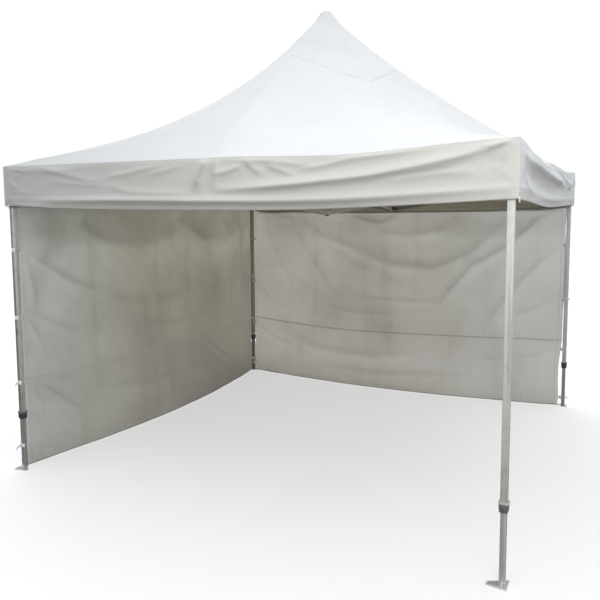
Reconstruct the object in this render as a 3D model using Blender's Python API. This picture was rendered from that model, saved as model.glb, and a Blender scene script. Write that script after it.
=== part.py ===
"""Folding marquee tent, three metres square, with a cloth roof and two cloth side walls.

Metres, +Z up. The origin is on the ground, below the centre pole. The front is the -Y side
and the right is the +X side, and both are open. The left and the back are walled.
"""

from math import cos, hypot, pi, sin

import bmesh
import bpy
from mathutils import Matrix, Vector

# Plan and heights
LEG = 1.45  # a leg's centre from the middle, along X and along Y
HALF = 1.48  # the canopy's outer half width
APEX = 2.95
CORNER_EAVE = 1.88
MID_EAVE = {"front": 1.865, "right": 1.848, "back": 1.860, "left": 1.865}
VALANCE_CORNER = 1.640  # the valance's lower edge
VALANCE_MID = 1.600
VALANCE_BEHIND = 0.025  # how much lower that edge hangs over the two walls
CLOTH = 0.003
GAP = 0.0003  # between pieces that touch
MID_ROOF_GAP = 0.0008  # between a connector's flat top and the sloping roof
CORNER_ROOF_GAP = 0.0030  # the roof dips beside each corner

# The roof's shape: how far each line sags below straight, and the power that moves the
# deepest point towards the peak
HIP_SAG = {
    "front_right": (0.288, 1.0),
    "front_left": (0.238, 0.81),
    "back_left": (0.26, 0.9),
    "back_right": (0.26, 0.9),
}
RIDGE_SAG = {"front": (0.0, 1.0), "right": (0.073, 0.82), "back": (0.03, 0.8), "left": (0.0, 1.0)}
# How far the eave dips between a side's middle and each of its two ends
EAVE_SAG = {"front": (0.0, 0.025), "right": (0.032, 0.018), "back": (0.02, 0.02), "left": (0.02, 0.02)}
CROWN = 0.030  # half width of the flat patch on the pole's cap
ROOF_RINGS = (0.03, 0.15, 0.30, 0.45, 0.60, 0.78, 0.96, 1.14, 1.32, 1.48)
SIDE_STEPS = 10
VALANCE_STEPS = 2

# Legs
OUTER_TUBE = 0.030
OUTER_WALL = 0.0012
OUTER_BOTTOM = 0.330
OUTER_TOP = 1.845
INNER_TUBE = 0.025
INNER_WALL = 0.0015
INNER_TOP = 0.950
COLLAR = 0.043
COLLAR_BODY = 0.040
COLLAR_BOTTOM = 0.315
COLLAR_RIM = 0.352
COLLAR_TOP = 0.362
COLLAR_BORE = 0.0262
COLLAR_TAPER = 0.9
TAB_WIDTH = 0.014
TAB_BOTTOM = 0.327
TAB_TOP = 0.356
TAB_REACH = 0.029  # from the leg's centre
TUBE_FIT = 0.0306  # the square hole that a 30 mm tube sits in
BUTTON_HEIGHT = 0.380
BUTTON_HOLE = 0.0050

# Foot plate, seen from above: inward along X, then outward along Y, from the leg's centre
FOOT_OUTLINE = ((0.061, 0.048), (0.058, 0.024), (-0.027, -0.023), (-0.027, 0.061))
FOOT_THICKNESS = 0.005
GUSSET_RUN = 0.034
GUSSET_RISE = 0.016
GUSSET_THICKNESS = 0.004

# Folding trusses
BAR_DEPTH = 0.025
BAR_WIDTH = 0.011
BAR_OFFSET = 0.006  # each bar's centre plane from the truss's
BAR_END = 0.0125
PIVOT = 0.005
PIVOT_REACH = 0.014
CHEEK = 0.004
CHEEK_HALF_HEIGHT = 0.014
BAR_PLAY = 0.0004
TRUSS_DEPTH = 0.182  # between the lower and the upper pins
PIN_MID_LOW = {"front": 1.636, "right": 1.632, "back": 1.610, "left": 1.636}
PIN_CORNER_LOW = 1.650
PIN_CORNER_HIGH = PIN_CORNER_LOW + TRUSS_DEPTH
PIN_HUB_LOW = 1.586
PIN_HUB_HIGH = PIN_HUB_LOW + TRUSS_DEPTH
CORNER_PIN = 0.040  # from the leg's centre
MID_PIN = 0.036  # from the connector's centre
HUB_PIN = 0.044  # from the pole's centre
CHEEK_PAST_PIN = 0.013
HEAD_RADIUS = 0.007
HEAD_HEIGHT = 0.003

# Plastic fittings
BRACKET_HALF = 0.021
BRACKET_UNDER = 0.018  # above and below a pin
CONNECTOR_HALF = 0.022
CONNECTOR_ALONG = 0.018
HUB_HALF = 0.024
POLE_RADIUS = 0.0125
POLE_FIT = 0.0130
POLE_BOTTOM = 1.566
POLE_CAP_RADIUS = 0.028
POLE_CAP_HEIGHT = 0.016

# Side walls
WALL_EDGE = 1.425  # half of a wall's length
WALL_BAND = 1.570  # above this the wall lies flat on the valance
WALL_LINE = 1.350  # below this it hangs on the legs' line
BULGE_TOP = 1.20
BULGE = {"left": 0.13, "back": 0.14}
BULGE_POWER = 1.6
WALL_COLUMNS = 12
WALL_HEIGHTS = (0.006, 0.14, 0.28, 0.44, 0.62, 0.82, 1.04, 1.20, 1.35, 1.46, 1.57)
WALL_TOP = {"left": (1.690, 0.0), "back": (1.612, 0.020)}  # at the ends, and how much less midway

CORNERS = {
    "front_right": (1, -1),
    "front_left": (-1, -1),
    "back_left": (-1, 1),
    "back_right": (1, 1),
}
# Outward direction of each side, then the direction along it, with the corner at each end
SIDES = {
    "front": (Vector((0, -1, 0)), Vector((1, 0, 0))),
    "right": (Vector((1, 0, 0)), Vector((0, 1, 0))),
    "back": (Vector((0, 1, 0)), Vector((-1, 0, 0))),
    "left": (Vector((-1, 0, 0)), Vector((0, -1, 0))),
}
SIDE_ENDS = {
    "front": ("front_left", "front_right"),
    "right": ("front_right", "back_right"),
    "back": ("back_right", "back_left"),
    "left": ("back_left", "front_left"),
}


def clear_scene():
    for found in list(bpy.data.objects):
        bpy.data.objects.remove(found, do_unlink=True)


def make_material(name, colour, roughness, metallic=0.0):
    made = bpy.data.materials.new(name)
    made.use_nodes = True
    shader = made.node_tree.nodes["Principled BSDF"]
    shader.inputs["Base Color"].default_value = (*colour, 1.0)
    shader.inputs["Roughness"].default_value = roughness
    shader.inputs["Metallic"].default_value = metallic
    return made


def add_object(name, bm, finish=None):
    bmesh.ops.recalc_face_normals(bm, faces=bm.faces)
    mesh = bpy.data.meshes.new(name)
    bm.to_mesh(mesh)
    bm.free()
    made = bpy.data.objects.new(name, mesh)
    bpy.context.scene.collection.objects.link(made)
    if finish:
        mesh.materials.append(finish)
    return made


def add_box(bm, first, second):
    """A box between two opposite corners, given in any order."""
    first, second = Vector(first), Vector(second)
    size = [abs(value) for value in second - first]
    place = Matrix.Translation((first + second) / 2) @ Matrix.Diagonal((*size, 1))
    return bmesh.ops.create_cube(bm, size=1, matrix=place)["verts"]


def add_rod(bm, start, end, radius, sides):
    start, end = Vector(start), Vector(end)
    turn = (end - start).to_track_quat("Z", "Y").to_matrix().to_4x4()
    place = Matrix.Translation((start + end) / 2) @ turn
    bmesh.ops.create_cone(
        bm,
        cap_ends=True,
        segments=sides,
        radius1=radius,
        radius2=radius,
        depth=(end - start).length,
        matrix=place,
    )


def combine(target, bm, operation):
    """Adds the shapes in bm to the target, or cuts them out of it."""
    tool = add_object(f"{target.name}_tool_{len(target.modifiers)}", bm)
    tool.hide_render = True
    tool.display_type = "WIRE"
    step = target.modifiers.new(operation.title(), "BOOLEAN")
    step.operation = operation
    step.object = tool


def boxes(*corners):
    bm = bmesh.new()
    for first, second in corners:
        add_box(bm, first, second)
    return bm


def square(centre, half, low, high):
    """The two corners of an upright square block."""
    x, y = centre
    return (x - half, y - half, low), (x + half, y + half, high)


def side_point(side, along, inward, height):
    """A point given from the middle of a side's line of legs."""
    outward, run = SIDES[side]
    return outward * (LEG - inward) + run * along + Vector((0, 0, height))


def smooth(value):
    value = min(max(value, 0.0), 1.0)
    return value * value * (3 - 2 * value)


# The roof's surface

def line_height(eave, sag, out):
    share = out / HALF
    depth, power = sag
    return APEX - (APEX - eave) * share - depth * sin(pi * share**power)


def roof_height(side, out, slant):
    """Height at a distance out from the middle. slant is 0 on the ridge and -1 or 1 on a hip."""
    end = 1 if slant > 0 else 0
    corner = SIDE_ENDS[side][end]
    lean = abs(slant)
    ridge = line_height(MID_EAVE[side], RIDGE_SAG[side], out)
    hip = line_height(CORNER_EAVE, HIP_SAG[corner], out)
    height = ridge * (1 - lean) + hip * lean
    return height - EAVE_SAG[side][end] * (out / HALF) ** 4 * sin(pi * lean) ** 2


def valance_bottom(side, slant):
    height = VALANCE_CORNER - (VALANCE_CORNER - VALANCE_MID) * cos(pi * slant / 2) ** 0.7
    if side in ("back", "left"):
        height -= VALANCE_BEHIND
    return height


def ring_points(side, out, height_at):
    """A side's share of a square ring, without the point at its far corner."""
    outward, run = SIDES[side]
    points = []
    for step in range(SIDE_STEPS):
        slant = 2 * step / SIDE_STEPS - 1
        points.append(outward * out + run * out * slant + Vector((0, 0, height_at(side, slant))))
    return points


def make_canopy(finish):
    """Roof and valance, sewn into one piece of cloth that is open below."""
    rings = []
    for out in ROOF_RINGS:
        ring = []
        for side in SIDES:
            if out == CROWN:
                ring += ring_points(side, out, lambda side, slant: APEX)
            else:
                ring += ring_points(side, out, lambda side, slant: roof_height(side, out, slant))
        rings.append(ring)
    for step in range(1, VALANCE_STEPS + 1):
        share = step / VALANCE_STEPS

        def hang(side, slant):
            top = roof_height(side, HALF, slant)
            return top + (valance_bottom(side, slant) - top) * share

        ring = []
        for side in SIDES:
            ring += ring_points(side, HALF, hang)
        rings.append(ring)
    bm = bmesh.new()
    rows = [[bm.verts.new(point) for point in ring] for ring in rings]
    bm.faces.new(rows[0])
    for inner, outer in zip(rows, rows[1:]):
        for index in range(len(inner)):
            after = (index + 1) % len(inner)
            bm.faces.new((inner[index], outer[index], outer[after], inner[after]))
    canopy = add_object("canopy", bm, finish)
    if canopy.data.polygons[0].normal.z < 0:
        canopy.data.flip_normals()
    thicken(canopy)


def thicken(cloth):
    """Gives a sheet its thickness on the side away from its normals."""
    step = cloth.modifiers.new("Cloth", "SOLIDIFY")
    step.thickness = CLOTH
    step.offset = -1
    step.use_even_offset = True


# Side walls

def wall_inward(side, along, height):
    """How far the wall's outer face hangs in from the line of the legs."""
    on_valance = HALF - CLOTH - GAP - LEG
    flat = smooth((height - WALL_LINE) / (WALL_BAND - WALL_LINE))
    low = max(0.0, 1 - height / BULGE_TOP) ** BULGE_POWER
    bulge = BULGE[side] * low * cos(pi * along / (2 * WALL_EDGE))
    return bulge - on_valance * flat - CLOTH / 2 * (1 - flat)


def wall_height(side, along, row):
    if row < len(WALL_HEIGHTS):
        return WALL_HEIGHTS[row]
    ends, dip = WALL_TOP[side]
    return ends - dip * cos(pi * along / (2 * WALL_EDGE))


def make_wall(side, finish):
    bm = bmesh.new()
    rows = []
    for level in range(len(WALL_HEIGHTS) + 1):
        row = []
        for column in range(WALL_COLUMNS + 1):
            along = WALL_EDGE * (2 * column / WALL_COLUMNS - 1)
            height = wall_height(side, along, level)
            row.append(bm.verts.new(side_point(side, along, wall_inward(side, along, height), height)))
        rows.append(row)
    for lower, upper in zip(rows, rows[1:]):
        for index in range(WALL_COLUMNS):
            bm.faces.new((lower[index], lower[index + 1], upper[index + 1], upper[index]))
    wall = add_object(f"wall_{side}", bm, finish)
    if wall.data.polygons[0].normal.dot(SIDES[side][0]) < 0:
        wall.data.flip_normals()
    thicken(wall)


# Legs

def corner_centre(corner):
    across, along = CORNERS[corner]
    return across * LEG, along * LEG


def make_upper_leg(corner, finish):
    centre = corner_centre(corner)
    leg = add_object(
        f"upper_leg_{corner}",
        boxes(square(centre, OUTER_TUBE / 2, OUTER_BOTTOM + GAP, OUTER_TOP)),
        finish,
    )
    hollow = square(centre, OUTER_TUBE / 2 - OUTER_WALL, OUTER_BOTTOM - 0.1, OUTER_TOP + 0.1)
    combine(leg, boxes(hollow), "DIFFERENCE")
    bm = bmesh.new()
    face = centre[1] - CORNERS[corner][1] * OUTER_TUBE / 2
    inside = centre[1] - CORNERS[corner][1] * OUTER_TUBE / 4
    outside = 2 * face - inside
    add_rod(bm, (centre[0], inside, BUTTON_HEIGHT), (centre[0], outside, BUTTON_HEIGHT), BUTTON_HOLE, 12)
    combine(leg, bm, "DIFFERENCE")


def make_lower_leg(corner, finish):
    """Inner tube with its foot plate. It slides down out of the upper leg."""
    centre = corner_centre(corner)
    across, along = CORNERS[corner]
    half = INNER_TUBE / 2
    leg = add_object(f"lower_leg_{corner}", boxes(square(centre, half, 0.0, INNER_TOP)), finish)
    hollow = square(centre, half - INNER_WALL, 2 * FOOT_THICKNESS, INNER_TOP + 0.1)
    combine(leg, boxes(hollow), "DIFFERENCE")

    bm = bmesh.new()
    outline = [
        bm.verts.new((centre[0] - across * inward, centre[1] + along * outward, 0.0))
        for inward, outward in FOOT_OUTLINE
    ]
    plate = bmesh.ops.extrude_face_region(bm, geom=[bm.faces.new(outline)])
    top = [item for item in plate["geom"] if isinstance(item, bmesh.types.BMVert)]
    bmesh.ops.translate(bm, vec=(0, 0, FOOT_THICKNESS), verts=top)
    combine(leg, bm, "UNION")

    bm = bmesh.new()
    base = FOOT_THICKNESS - 0.002
    start = half - 0.001
    profile = ((start, base), (half + GUSSET_RUN, base), (start, FOOT_THICKNESS + GUSSET_RISE))
    rib = [
        bm.verts.new((centre[0] - GUSSET_THICKNESS / 2, centre[1] + along * outward, height))
        for outward, height in profile
    ]
    rib = bmesh.ops.extrude_face_region(bm, geom=[bm.faces.new(rib)])
    far = [item for item in rib["geom"] if isinstance(item, bmesh.types.BMVert)]
    bmesh.ops.translate(bm, vec=(GUSSET_THICKNESS, 0, 0), verts=far)
    combine(leg, bm, "UNION")


def make_collar(corner, finish):
    """Sleeve at the upper leg's foot, with the pull tab of its locking button."""
    centre = corner_centre(corner)
    along = CORNERS[corner][1]
    bm = bmesh.new()
    body = add_box(bm, *square(centre, COLLAR_BODY / 2, COLLAR_BOTTOM, COLLAR_RIM))
    taper = [vert for vert in body if vert.co.z < COLLAR_RIM - 0.001]
    middle = Vector((*centre, COLLAR_BOTTOM))
    for vert in taper:
        vert.co = middle + (vert.co - middle) * COLLAR_TAPER
    collar = add_object(f"leg_collar_{corner}", bm, finish)
    rim = square(centre, COLLAR / 2, COLLAR_RIM - 0.001, COLLAR_TOP)
    combine(collar, boxes(rim), "UNION")
    way = Vector((0, along, 0))
    aside = Vector((TAB_WIDTH / 2, 0, 0))
    root = Vector((*centre, TAB_BOTTOM)) + way * (COLLAR_BODY / 2 - 0.003)
    tip = Vector((*centre, TAB_TOP)) + way * TAB_REACH
    combine(collar, boxes((root - aside, tip + aside)), "UNION")
    seat = square(centre, TUBE_FIT / 2, OUTER_BOTTOM, COLLAR_TOP + 0.01)
    combine(collar, boxes(seat), "DIFFERENCE")
    bore = square(centre, COLLAR_BORE / 2, COLLAR_BOTTOM - 0.01, COLLAR_TOP + 0.01)
    combine(collar, boxes(bore), "DIFFERENCE")


# Truss fittings

def add_fork(cheeks, heads, point_at, root, pin, plane, height):
    """Two cheeks that hold a bar's end, with the rivet's heads on them.

    point_at(out, aside, height) gives a point: out along the bar, aside across it.
    """
    inner = BAR_WIDTH / 2 + BAR_PLAY
    for way in (-1, 1):
        near = plane + way * inner
        far = plane + way * (inner + CHEEK)
        add_box(
            cheeks,
            point_at(root, near, height - CHEEK_HALF_HEIGHT),
            point_at(pin + CHEEK_PAST_PIN, far, height + CHEEK_HALF_HEIGHT),
        )
        start = plane + way * (inner + CHEEK / 2)
        end = plane + way * (inner + CHEEK + HEAD_HEIGHT)
        add_rod(heads, point_at(pin, start, height), point_at(pin, end, height), HEAD_RADIUS, 6)


def make_corner_bracket(corner, name, low, high, pin_height, upper_bar, finish):
    """Sleeve on a leg with a fork towards each neighbouring side.

    The bars from the top bracket lie in the outer plane and those from the slider in the inner.
    """
    centre = corner_centre(corner)
    bracket = add_object(f"{name}_{corner}", boxes(square(centre, BRACKET_HALF, low, high)), finish)
    cheeks, heads = bmesh.new(), bmesh.new()
    plane = -BAR_OFFSET if upper_bar else BAR_OFFSET
    for side, ends in SIDE_ENDS.items():
        if corner not in ends:
            continue
        way = 1 if ends[1] == corner else -1

        def point_at(out, aside, height):
            return side_point(side, way * (LEG - out), aside, height)

        add_fork(cheeks, heads, point_at, BRACKET_HALF - 0.002, CORNER_PIN, plane, pin_height)
    combine(bracket, cheeks, "UNION")
    combine(bracket, heads, "UNION")
    top = OUTER_TOP + GAP if upper_bar else high + 0.01
    hole = square(centre, TUBE_FIT / 2, low - 0.01, top)
    combine(bracket, boxes(hole), "DIFFERENCE")


def make_mid_connector(side, name, low, high, pin_height, upper_fitting, finish):
    """Block in the middle of a side that two side trusses and an inner truss are pinned to."""
    first = side_point(side, -CONNECTOR_ALONG, -CONNECTOR_HALF, low)
    second = side_point(side, CONNECTOR_ALONG, CONNECTOR_HALF, high)
    connector = add_object(f"{name}_{side}", boxes((first, second)), finish)
    cheeks, heads = bmesh.new(), bmesh.new()
    # A bar that starts high at a corner ends low in the middle, still in the outer plane
    plane = BAR_OFFSET if upper_fitting else -BAR_OFFSET
    for way in (-1, 1):

        def point_along(out, aside, height):
            return side_point(side, way * out, aside, height)

        add_fork(cheeks, heads, point_along, CONNECTOR_ALONG - 0.002, MID_PIN, plane, pin_height)

    def point_in(out, aside, height):
        return side_point(side, aside, out, height)

    plane = BAR_OFFSET if upper_fitting else -BAR_OFFSET
    add_fork(cheeks, heads, point_in, CONNECTOR_HALF - 0.002, CORNER_PIN, plane, pin_height)
    combine(connector, cheeks, "UNION")
    combine(connector, heads, "UNION")


def make_hub(name, pin_height, upper_fitting, finish):
    """Block on the centre pole with a fork towards each side."""
    low, high = pin_height - BRACKET_UNDER, pin_height + BRACKET_UNDER
    hub = add_object(name, boxes(square((0, 0), HUB_HALF, low, high)), finish)
    cheeks, heads = bmesh.new(), bmesh.new()
    plane = -BAR_OFFSET if upper_fitting else BAR_OFFSET
    for side in SIDES:

        def point_at(out, aside, height):
            return side_point(side, aside, LEG - out, height)

        add_fork(cheeks, heads, point_at, HUB_HALF - 0.002, HUB_PIN, plane, pin_height)
    combine(hub, cheeks, "UNION")
    combine(hub, heads, "UNION")
    bore = bmesh.new()
    add_rod(bore, (0, 0, low - 0.01), (0, 0, high + 0.01), POLE_FIT, 16)
    combine(hub, bore, "DIFFERENCE")


def add_bar(bm, start, end, across):
    """A flat bar between two pins, with its ends just past them."""
    start, end = Vector(start), Vector(end)
    run = (end - start).normalized()
    rise = across.cross(run).normalized()
    place = Matrix((run, across, rise)).transposed().to_4x4()
    place.translation = (start + end) / 2
    size = ((end - start).length + 2 * BAR_END, BAR_WIDTH, BAR_DEPTH, 1)
    bmesh.ops.create_cube(bm, size=1, matrix=place @ Matrix.Diagonal(size))


def make_truss(name, point_at, across, outer, inner, finish):
    """Two crossed bars fused by their pivot. outer and inner are the pins' (out, height) pairs."""
    bars = bmesh.new()
    for plane, (start, end) in ((-BAR_OFFSET, outer), (BAR_OFFSET, inner)):
        add_bar(
            bars,
            point_at(start[0], plane, start[1]),
            point_at(end[0], plane, end[1]),
            across,
        )
    truss = add_object(name, bars, finish)
    middle_out = (outer[0][0] + outer[1][0]) / 2
    middle_height = (outer[0][1] + outer[1][1]) / 2
    pivot = bmesh.new()
    add_rod(
        pivot,
        point_at(middle_out, -PIVOT_REACH, middle_height),
        point_at(middle_out, PIVOT_REACH, middle_height),
        PIVOT,
        8,
    )
    combine(truss, pivot, "UNION")


def make_side_truss(side, way, finish):
    corner = SIDE_ENDS[side][1 if way > 0 else 0]

    def point_at(out, aside, height):
        return side_point(side, way * out, aside, height)

    mid_low = PIN_MID_LOW[side]
    outer = ((LEG - CORNER_PIN, PIN_CORNER_HIGH), (MID_PIN, mid_low))
    inner = ((LEG - CORNER_PIN, PIN_CORNER_LOW), (MID_PIN, mid_low + TRUSS_DEPTH))
    end = corner.replace(f"{side}_", "").replace(f"_{side}", "")
    make_truss(f"truss_{side}_{end}", point_at, SIDES[side][0], outer, inner, finish)


def make_inner_truss(side, finish):
    def point_at(out, aside, height):
        return side_point(side, aside, out, height)

    mid_low = PIN_MID_LOW[side]
    outer = ((CORNER_PIN, mid_low), (LEG - HUB_PIN, PIN_HUB_HIGH))
    inner = ((CORNER_PIN, mid_low + TRUSS_DEPTH), (LEG - HUB_PIN, PIN_HUB_LOW))
    make_truss(f"inner_truss_{side}", point_at, SIDES[side][1], outer, inner, finish)


def make_pole(finish):
    """Centre pole with the cap that carries the roof's peak."""
    top = APEX - CLOTH - GAP
    bm = bmesh.new()
    add_rod(bm, (0, 0, POLE_BOTTOM), (0, 0, top - POLE_CAP_HEIGHT / 2), POLE_RADIUS, 16)
    pole = add_object("centre_pole", bm, finish)
    cap = bmesh.new()
    add_rod(cap, (0, 0, top - POLE_CAP_HEIGHT), (0, 0, top), POLE_CAP_RADIUS, 20)
    combine(pole, cap, "UNION")
    pole.data.set_sharp_from_angle(angle=0.6)


def roof_underside(side, out, slant):
    """The height of the roof's inner face above a fitting's outer edge."""
    slope = (roof_height(side, out - 0.05, slant) - roof_height(side, out, slant)) / 0.05
    return roof_height(side, out, slant) - CLOTH * hypot(1, slope)


def make_tent():
    clear_scene()
    cloth = make_material("canopy_cloth", (0.80, 0.81, 0.80), 0.85)
    wall_cloth = make_material("wall_cloth", (0.60, 0.58, 0.54), 0.88)
    steel = make_material("painted_steel", (0.62, 0.63, 0.62), 0.40, 0.3)
    plated = make_material("plated_steel", (0.45, 0.46, 0.45), 0.38, 0.8)
    plastic = make_material("black_plastic", (0.06, 0.06, 0.065), 0.50)
    grey_plastic = make_material("grey_plastic", (0.42, 0.43, 0.42), 0.50)

    make_canopy(cloth)
    for side in BULGE:
        make_wall(side, wall_cloth)
    for corner in CORNERS:
        side = next(side for side, ends in SIDE_ENDS.items() if ends[1] == corner)
        corner_top = roof_underside(side, LEG + BRACKET_HALF, 1) - CORNER_ROOF_GAP
        make_upper_leg(corner, steel)
        make_lower_leg(corner, plated)
        make_collar(corner, plastic)
        make_corner_bracket(
            corner, "top_bracket", PIN_CORNER_HIGH - BRACKET_UNDER, corner_top, PIN_CORNER_HIGH, True, plastic
        )
        make_corner_bracket(
            corner,
            "slider_bracket",
            PIN_CORNER_LOW - CHEEK_HALF_HEIGHT,
            PIN_CORNER_LOW + 2 * BRACKET_UNDER,
            PIN_CORNER_LOW,
            False,
            plastic,
        )
    for side in SIDES:
        mid_top = roof_underside(side, LEG + CONNECTOR_HALF, 0) - MID_ROOF_GAP
        mid_low = PIN_MID_LOW[side]
        mid_high = mid_low + TRUSS_DEPTH
        make_mid_connector(
            side,
            "mid_connector_upper",
            mid_high - BRACKET_UNDER,
            mid_top,
            mid_high,
            True,
            plastic,
        )
        make_mid_connector(
            side,
            "mid_connector_lower",
            mid_low - CHEEK_HALF_HEIGHT,
            mid_low + BRACKET_UNDER,
            mid_low,
            False,
            plastic,
        )
        for way in (-1, 1):
            make_side_truss(side, way, steel)
        make_inner_truss(side, steel)
    make_hub("hub_lower", PIN_HUB_LOW, False, grey_plastic)
    make_hub("hub_upper", PIN_HUB_HIGH, True, grey_plastic)
    make_pole(steel)


make_tent()
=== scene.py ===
from math import atan2, cos, hypot, pi, radians, sin

import bmesh
import bpy
import numpy as np
from mathutils import Matrix, Vector, noise


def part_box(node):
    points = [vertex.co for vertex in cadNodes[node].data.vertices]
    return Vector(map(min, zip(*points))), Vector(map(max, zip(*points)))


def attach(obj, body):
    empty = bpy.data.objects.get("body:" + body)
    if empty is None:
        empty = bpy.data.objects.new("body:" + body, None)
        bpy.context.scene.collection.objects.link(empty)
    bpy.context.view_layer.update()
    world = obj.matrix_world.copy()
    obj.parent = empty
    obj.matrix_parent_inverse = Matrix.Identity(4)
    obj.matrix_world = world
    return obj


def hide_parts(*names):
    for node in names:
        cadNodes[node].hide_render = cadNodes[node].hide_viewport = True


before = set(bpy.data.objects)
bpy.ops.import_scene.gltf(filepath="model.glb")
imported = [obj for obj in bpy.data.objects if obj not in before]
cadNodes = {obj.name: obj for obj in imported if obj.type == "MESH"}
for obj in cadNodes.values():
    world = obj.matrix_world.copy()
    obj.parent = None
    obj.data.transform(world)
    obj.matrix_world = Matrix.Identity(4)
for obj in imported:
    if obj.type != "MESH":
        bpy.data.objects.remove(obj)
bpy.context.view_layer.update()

upDirection = Vector((0, 0, 1))

# Outward and along directions of each side, and the corner at each end
sides = {
    "front": (Vector((0, -1, 0)), Vector((1, 0, 0)), ("front_left", "front_right")),
    "right": (Vector((1, 0, 0)), Vector((0, 1, 0)), ("front_right", "back_right")),
    "back": (Vector((0, 1, 0)), Vector((-1, 0, 0)), ("back_right", "back_left")),
    "left": (Vector((-1, 0, 0)), Vector((0, -1, 0)), ("back_left", "front_left")),
}
corners = {
    "front_right": (1, -1), "front_left": (-1, -1), "back_left": (-1, 1), "back_right": (1, 1),
}
walledSides = ("left", "back")


def middleOf(node):
    low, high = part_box(node)
    return (low + high) / 2


legLine = middleOf("upper_leg_front_right").x


# Materials

def feed(tree, socket, value):
    # A socket takes another node's output, a colour or a number
    if isinstance(value, bpy.types.NodeSocket):
        tree.links.new(value, socket)
    else:
        socket.default_value = (*value, 1) if socket.type == "RGBA" else value


def setInputs(tree, node, values):
    for key, value in values.items():
        feed(tree, node.inputs[key], value)


def startMaterial(name, colour, roughness, metallic=0.0):
    material = bpy.data.materials.new(name)
    material.use_nodes = True
    tree = material.node_tree
    shader = tree.nodes["Principled BSDF"]
    setInputs(tree, shader, {"Base Color": colour, "Roughness": roughness, "Metallic": metallic})
    return material, tree, shader


def addNode(tree, kind, **values):
    node = tree.nodes.new(kind)
    for key, value in values.items():
        socket = node.inputs.get(key)
        if socket is None:
            setattr(node, key, value)
        else:
            feed(tree, socket, value)
    return node


def attribute(tree, name):
    return addNode(tree, "ShaderNodeAttribute", attribute_name=name).outputs["Fac"]


def objectPlace(tree):
    return addNode(tree, "ShaderNodeTexCoord").outputs["Object"]


def doMath(tree, operation, *values):
    node = addNode(tree, "ShaderNodeMath", operation=operation)
    for socket, value in zip(node.inputs, values):
        feed(tree, socket, value)
    return node.outputs[0]


def inTurn(tree, operation, first, *others):
    # The same operation over several values
    for value in others:
        first = doMath(tree, operation, first, value)
    return first


def mixColours(tree, share, first, second, way="MIX"):
    node = addNode(tree, "ShaderNodeMix", data_type="RGBA", blend_type=way)
    for key, value in (("Factor_Float", share), ("A_Color", first), ("B_Color", second)):
        feed(tree, next(item for item in node.inputs if item.identifier == key), value)
    return next(item for item in node.outputs if item.identifier == "Result_Color")


def ramp(tree, value, low, high, lowTo=0.0, highTo=1.0):
    ends = {"From Min": low, "From Max": high, "To Min": lowTo, "To Max": highTo}
    node = addNode(tree, "ShaderNodeMapRange", Value=value, clamp=True, **ends)
    return node.outputs["Result"]


def noiseOf(tree, vector, scale, detail=4.0, roughness=0.55, distortion=0.0):
    node = addNode(tree, "ShaderNodeTexNoise", Vector=vector, Scale=scale, Detail=detail,
                   Roughness=roughness, Distortion=distortion)
    return node.outputs["Fac"]


def stretched(tree, vector, scale):
    return addNode(tree, "ShaderNodeMapping", Vector=vector, Scale=scale).outputs["Vector"]


def bumpFrom(tree, shader, parts):
    normal = None
    for height, (distance, strength) in parts:
        node = addNode(tree, "ShaderNodeBump", Height=height, Distance=distance, Strength=strength)
        if normal:
            tree.links.new(normal, node.inputs["Normal"])
        normal = node.outputs["Normal"]
    tree.links.new(normal, shader.inputs["Normal"])


# What the three sheets share. A noise is (scale, detail, roughness, distortion), a reach is
# where a share starts and is full, and a bump is (distance, strength).
clothLook = {
    "roughness": 0.72, "roughnessFrom": -0.08, "roughnessTo": 0.14,
    "finish": {"Sheen Weight": 0.15, "Sheen Roughness": 0.5, "Specular IOR Level": 0.35},
    "clouds": (1.3, 6.0, 0.6, 0.4), "cloudReach": (0.42, 0.72),
    "streakStretch": (7.0, 7.0, 0.8), "streakReach": (0.52, 0.78), "streakPart": 0.55,
    "specks": (38.0, 3.0, 0.7), "speckReach": (0.66, 0.80), "speckPart": 0.7,
    "crumple": (11.0, 5.0, 0.62, 0.8), "crumpleBump": (0.006, 0.35), "fine": (60.0, 3.0, 0.6),
    "fineBump": (0.001, 0.30), "threadsPerMetre": 900.0, "weaveBump": (0.00018, 0.35),
    # Heights above the lower edge
    "hemSoilUp": 0.22,
    "lowShadeUp": 1.35, "topShadeUp": (1.25, 1.60), "bottomLineUp": (0.004, 0.018),
    "edgeThroughUp": (0.3, 0.9), "topThroughUp": (0.75, 1.45), "mostDirtAndShade": 0.85,
    "tape": (0.92, 0.92, 0.90), "tapeShare": 0.7, "stitchLength": 0.0055,
    "stitchDash": (0.30, 0.38), "stitchHalfWidth": 0.0009, "stitchFromSeam": 0.0075,
    "stitchFromHem": 0.0035, "stitchTint": (0.86, 0.86, 0.84), "stitchShare": 0.3,
    "stitchBump": (0.0007, 0.8), "hemShadeReach": (0.0006, 0.0034), "hemShadePart": 0.6,
    "seamShadeReach": (0.0022, 0.0062), "bottomShade": 0.55, "shadeTone": 0.45,
    "throughInShade": 0.4,
}
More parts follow.
